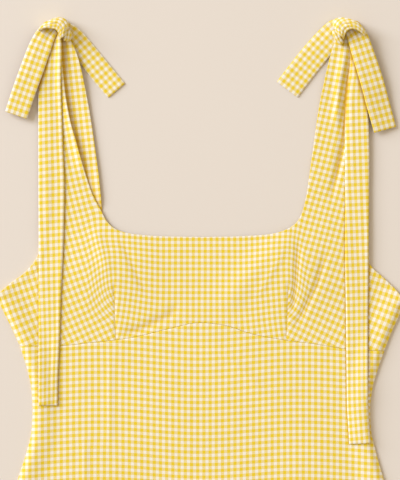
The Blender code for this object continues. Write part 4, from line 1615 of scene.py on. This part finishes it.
def stitch_tree(thread):
    """Geometry nodes that lay a run of stitches along a curve."""
    tree = bpy.data.node_groups.new("run of stitches", "GeometryNodeTree")
    tree.interface.new_socket("Geometry", in_out="INPUT", socket_type="NodeSocketGeometry")
    for name, value in STITCH_SIZES.items():
        socket = tree.interface.new_socket(name, in_out="INPUT", socket_type="NodeSocketFloat")
        socket.default_value = value * MM
    tree.interface.new_socket("Geometry", in_out="OUTPUT", socket_type="NodeSocketGeometry")
    given = tree.nodes.new("NodeGroupInput").outputs
    points = tree.nodes.new("GeometryNodeCurveToPoints")
    points.mode = "LENGTH"
    places = feed(tree, points, {"Curve": given["Geometry"], "Length": given["Spacing"]})
    uneven = tree.nodes.new("FunctionNodeRandomValue")
    uneven.data_type = "FLOAT"
    for socket, value in zip([socket for socket in uneven.inputs if socket.enabled], STITCH_UNEVEN):
        socket.default_value = value
    uneven.inputs["Seed"].default_value = STITCH_SEED
    run = {
        "Points": places["Points"],
        "Rotation": places["Rotation"],
        "Instance": stitch_shape(tree, given),
        "Scale": next(out for out in uneven.outputs if out.enabled),
    }
    laid = added(tree, "GeometryNodeInstanceOnPoints", run)
    real = added(tree, "GeometryNodeRealizeInstances", {"Geometry": laid["Instances"]})
    painted = added(tree, "GeometryNodeSetMaterial", {"Geometry": real["Geometry"], "Material": thread})
    feed(tree, tree.nodes.new("NodeGroupOutput"), {"Geometry": painted["Geometry"]})
    return tree


def stitched(name, line, tree, thread):
    """One run of stitches on the front's face, along a line in plan."""
    points = np.column_stack([line, on_front(line)]) * MM
    curve = bpy.data.curves.new(name + "_line", "CURVE")
    curve.dimensions = "3D"
    spline = curve.splines.new("POLY")
    spline.points.add(len(points) - 1)
    spline.points.foreach_set("co", np.column_stack([points, np.ones(len(points))]).ravel())
    guide = bpy.data.objects.new(name + "_line", curve)
    bpy.context.scene.collection.objects.link(guide)
    run = guide.modifiers.new("stitches", "NODES")
    run.node_group = tree
    for item in tree.interface.items_tree:
        if item.item_type == "SOCKET" and item.in_out == "INPUT" and item.name in STITCH_SIZES:
            run[item.identifier] = STITCH_SIZES[item.name] * MM
    bpy.context.view_layer.update()
    made = bpy.data.meshes.new_from_object(guide.evaluated_get(bpy.context.evaluated_depsgraph_get()))
    guide.modifiers.remove(run)
    bpy.data.objects.remove(guide)
    made.name = name
    made.materials.clear()
    made.materials.append(thread)
    made.shade_smooth()
    stitches = bpy.data.objects.new(name, made)
    bpy.context.scene.collection.objects.link(stitches)
    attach(stitches, "root")


def make_stitches(thread):
    tree = stitch_tree(thread)
    for side, word in SIDE_WORDS.items():
        edge = armhole(side)
        inward = left_of(units(np.gradient(edge, axis=0))) * side
        line = resampled(edge + inward * FACING_WIDTH, STITCH_LINE_STEP)
        line = line[(line[:, 1] < RISE_FROM_Y) & (line[:, 0] * side > ARMHOLE_STITCH_X)]
        stitched("armhole_stitches_" + word, line, tree, thread)
    x = np.linspace(-HEM_STITCH_X, HEM_STITCH_X, HEM_POINTS)
    hem = np.column_stack([x, HEM_Y + hem_rise(x) + HEM_STITCH_Y])
    stitched("hem_stitches", hem, tree, thread)


make_camera()
make_studio()
cotton_groups = (gingham_group(), rumple_group())
panel_cotton = gingham_cotton("gingham cotton", cotton_groups, PANEL_RUMPLE)
tie_cotton = gingham_cotton("gingham cotton, ties", cotton_groups, TIE_RUMPLE)
make_panels(panel_cotton)
for dress_side in (LEFT, RIGHT):
    make_back_strap(dress_side, panel_cotton)
    make_ties(dress_side, tie_cotton)
make_stitches(thread_material())
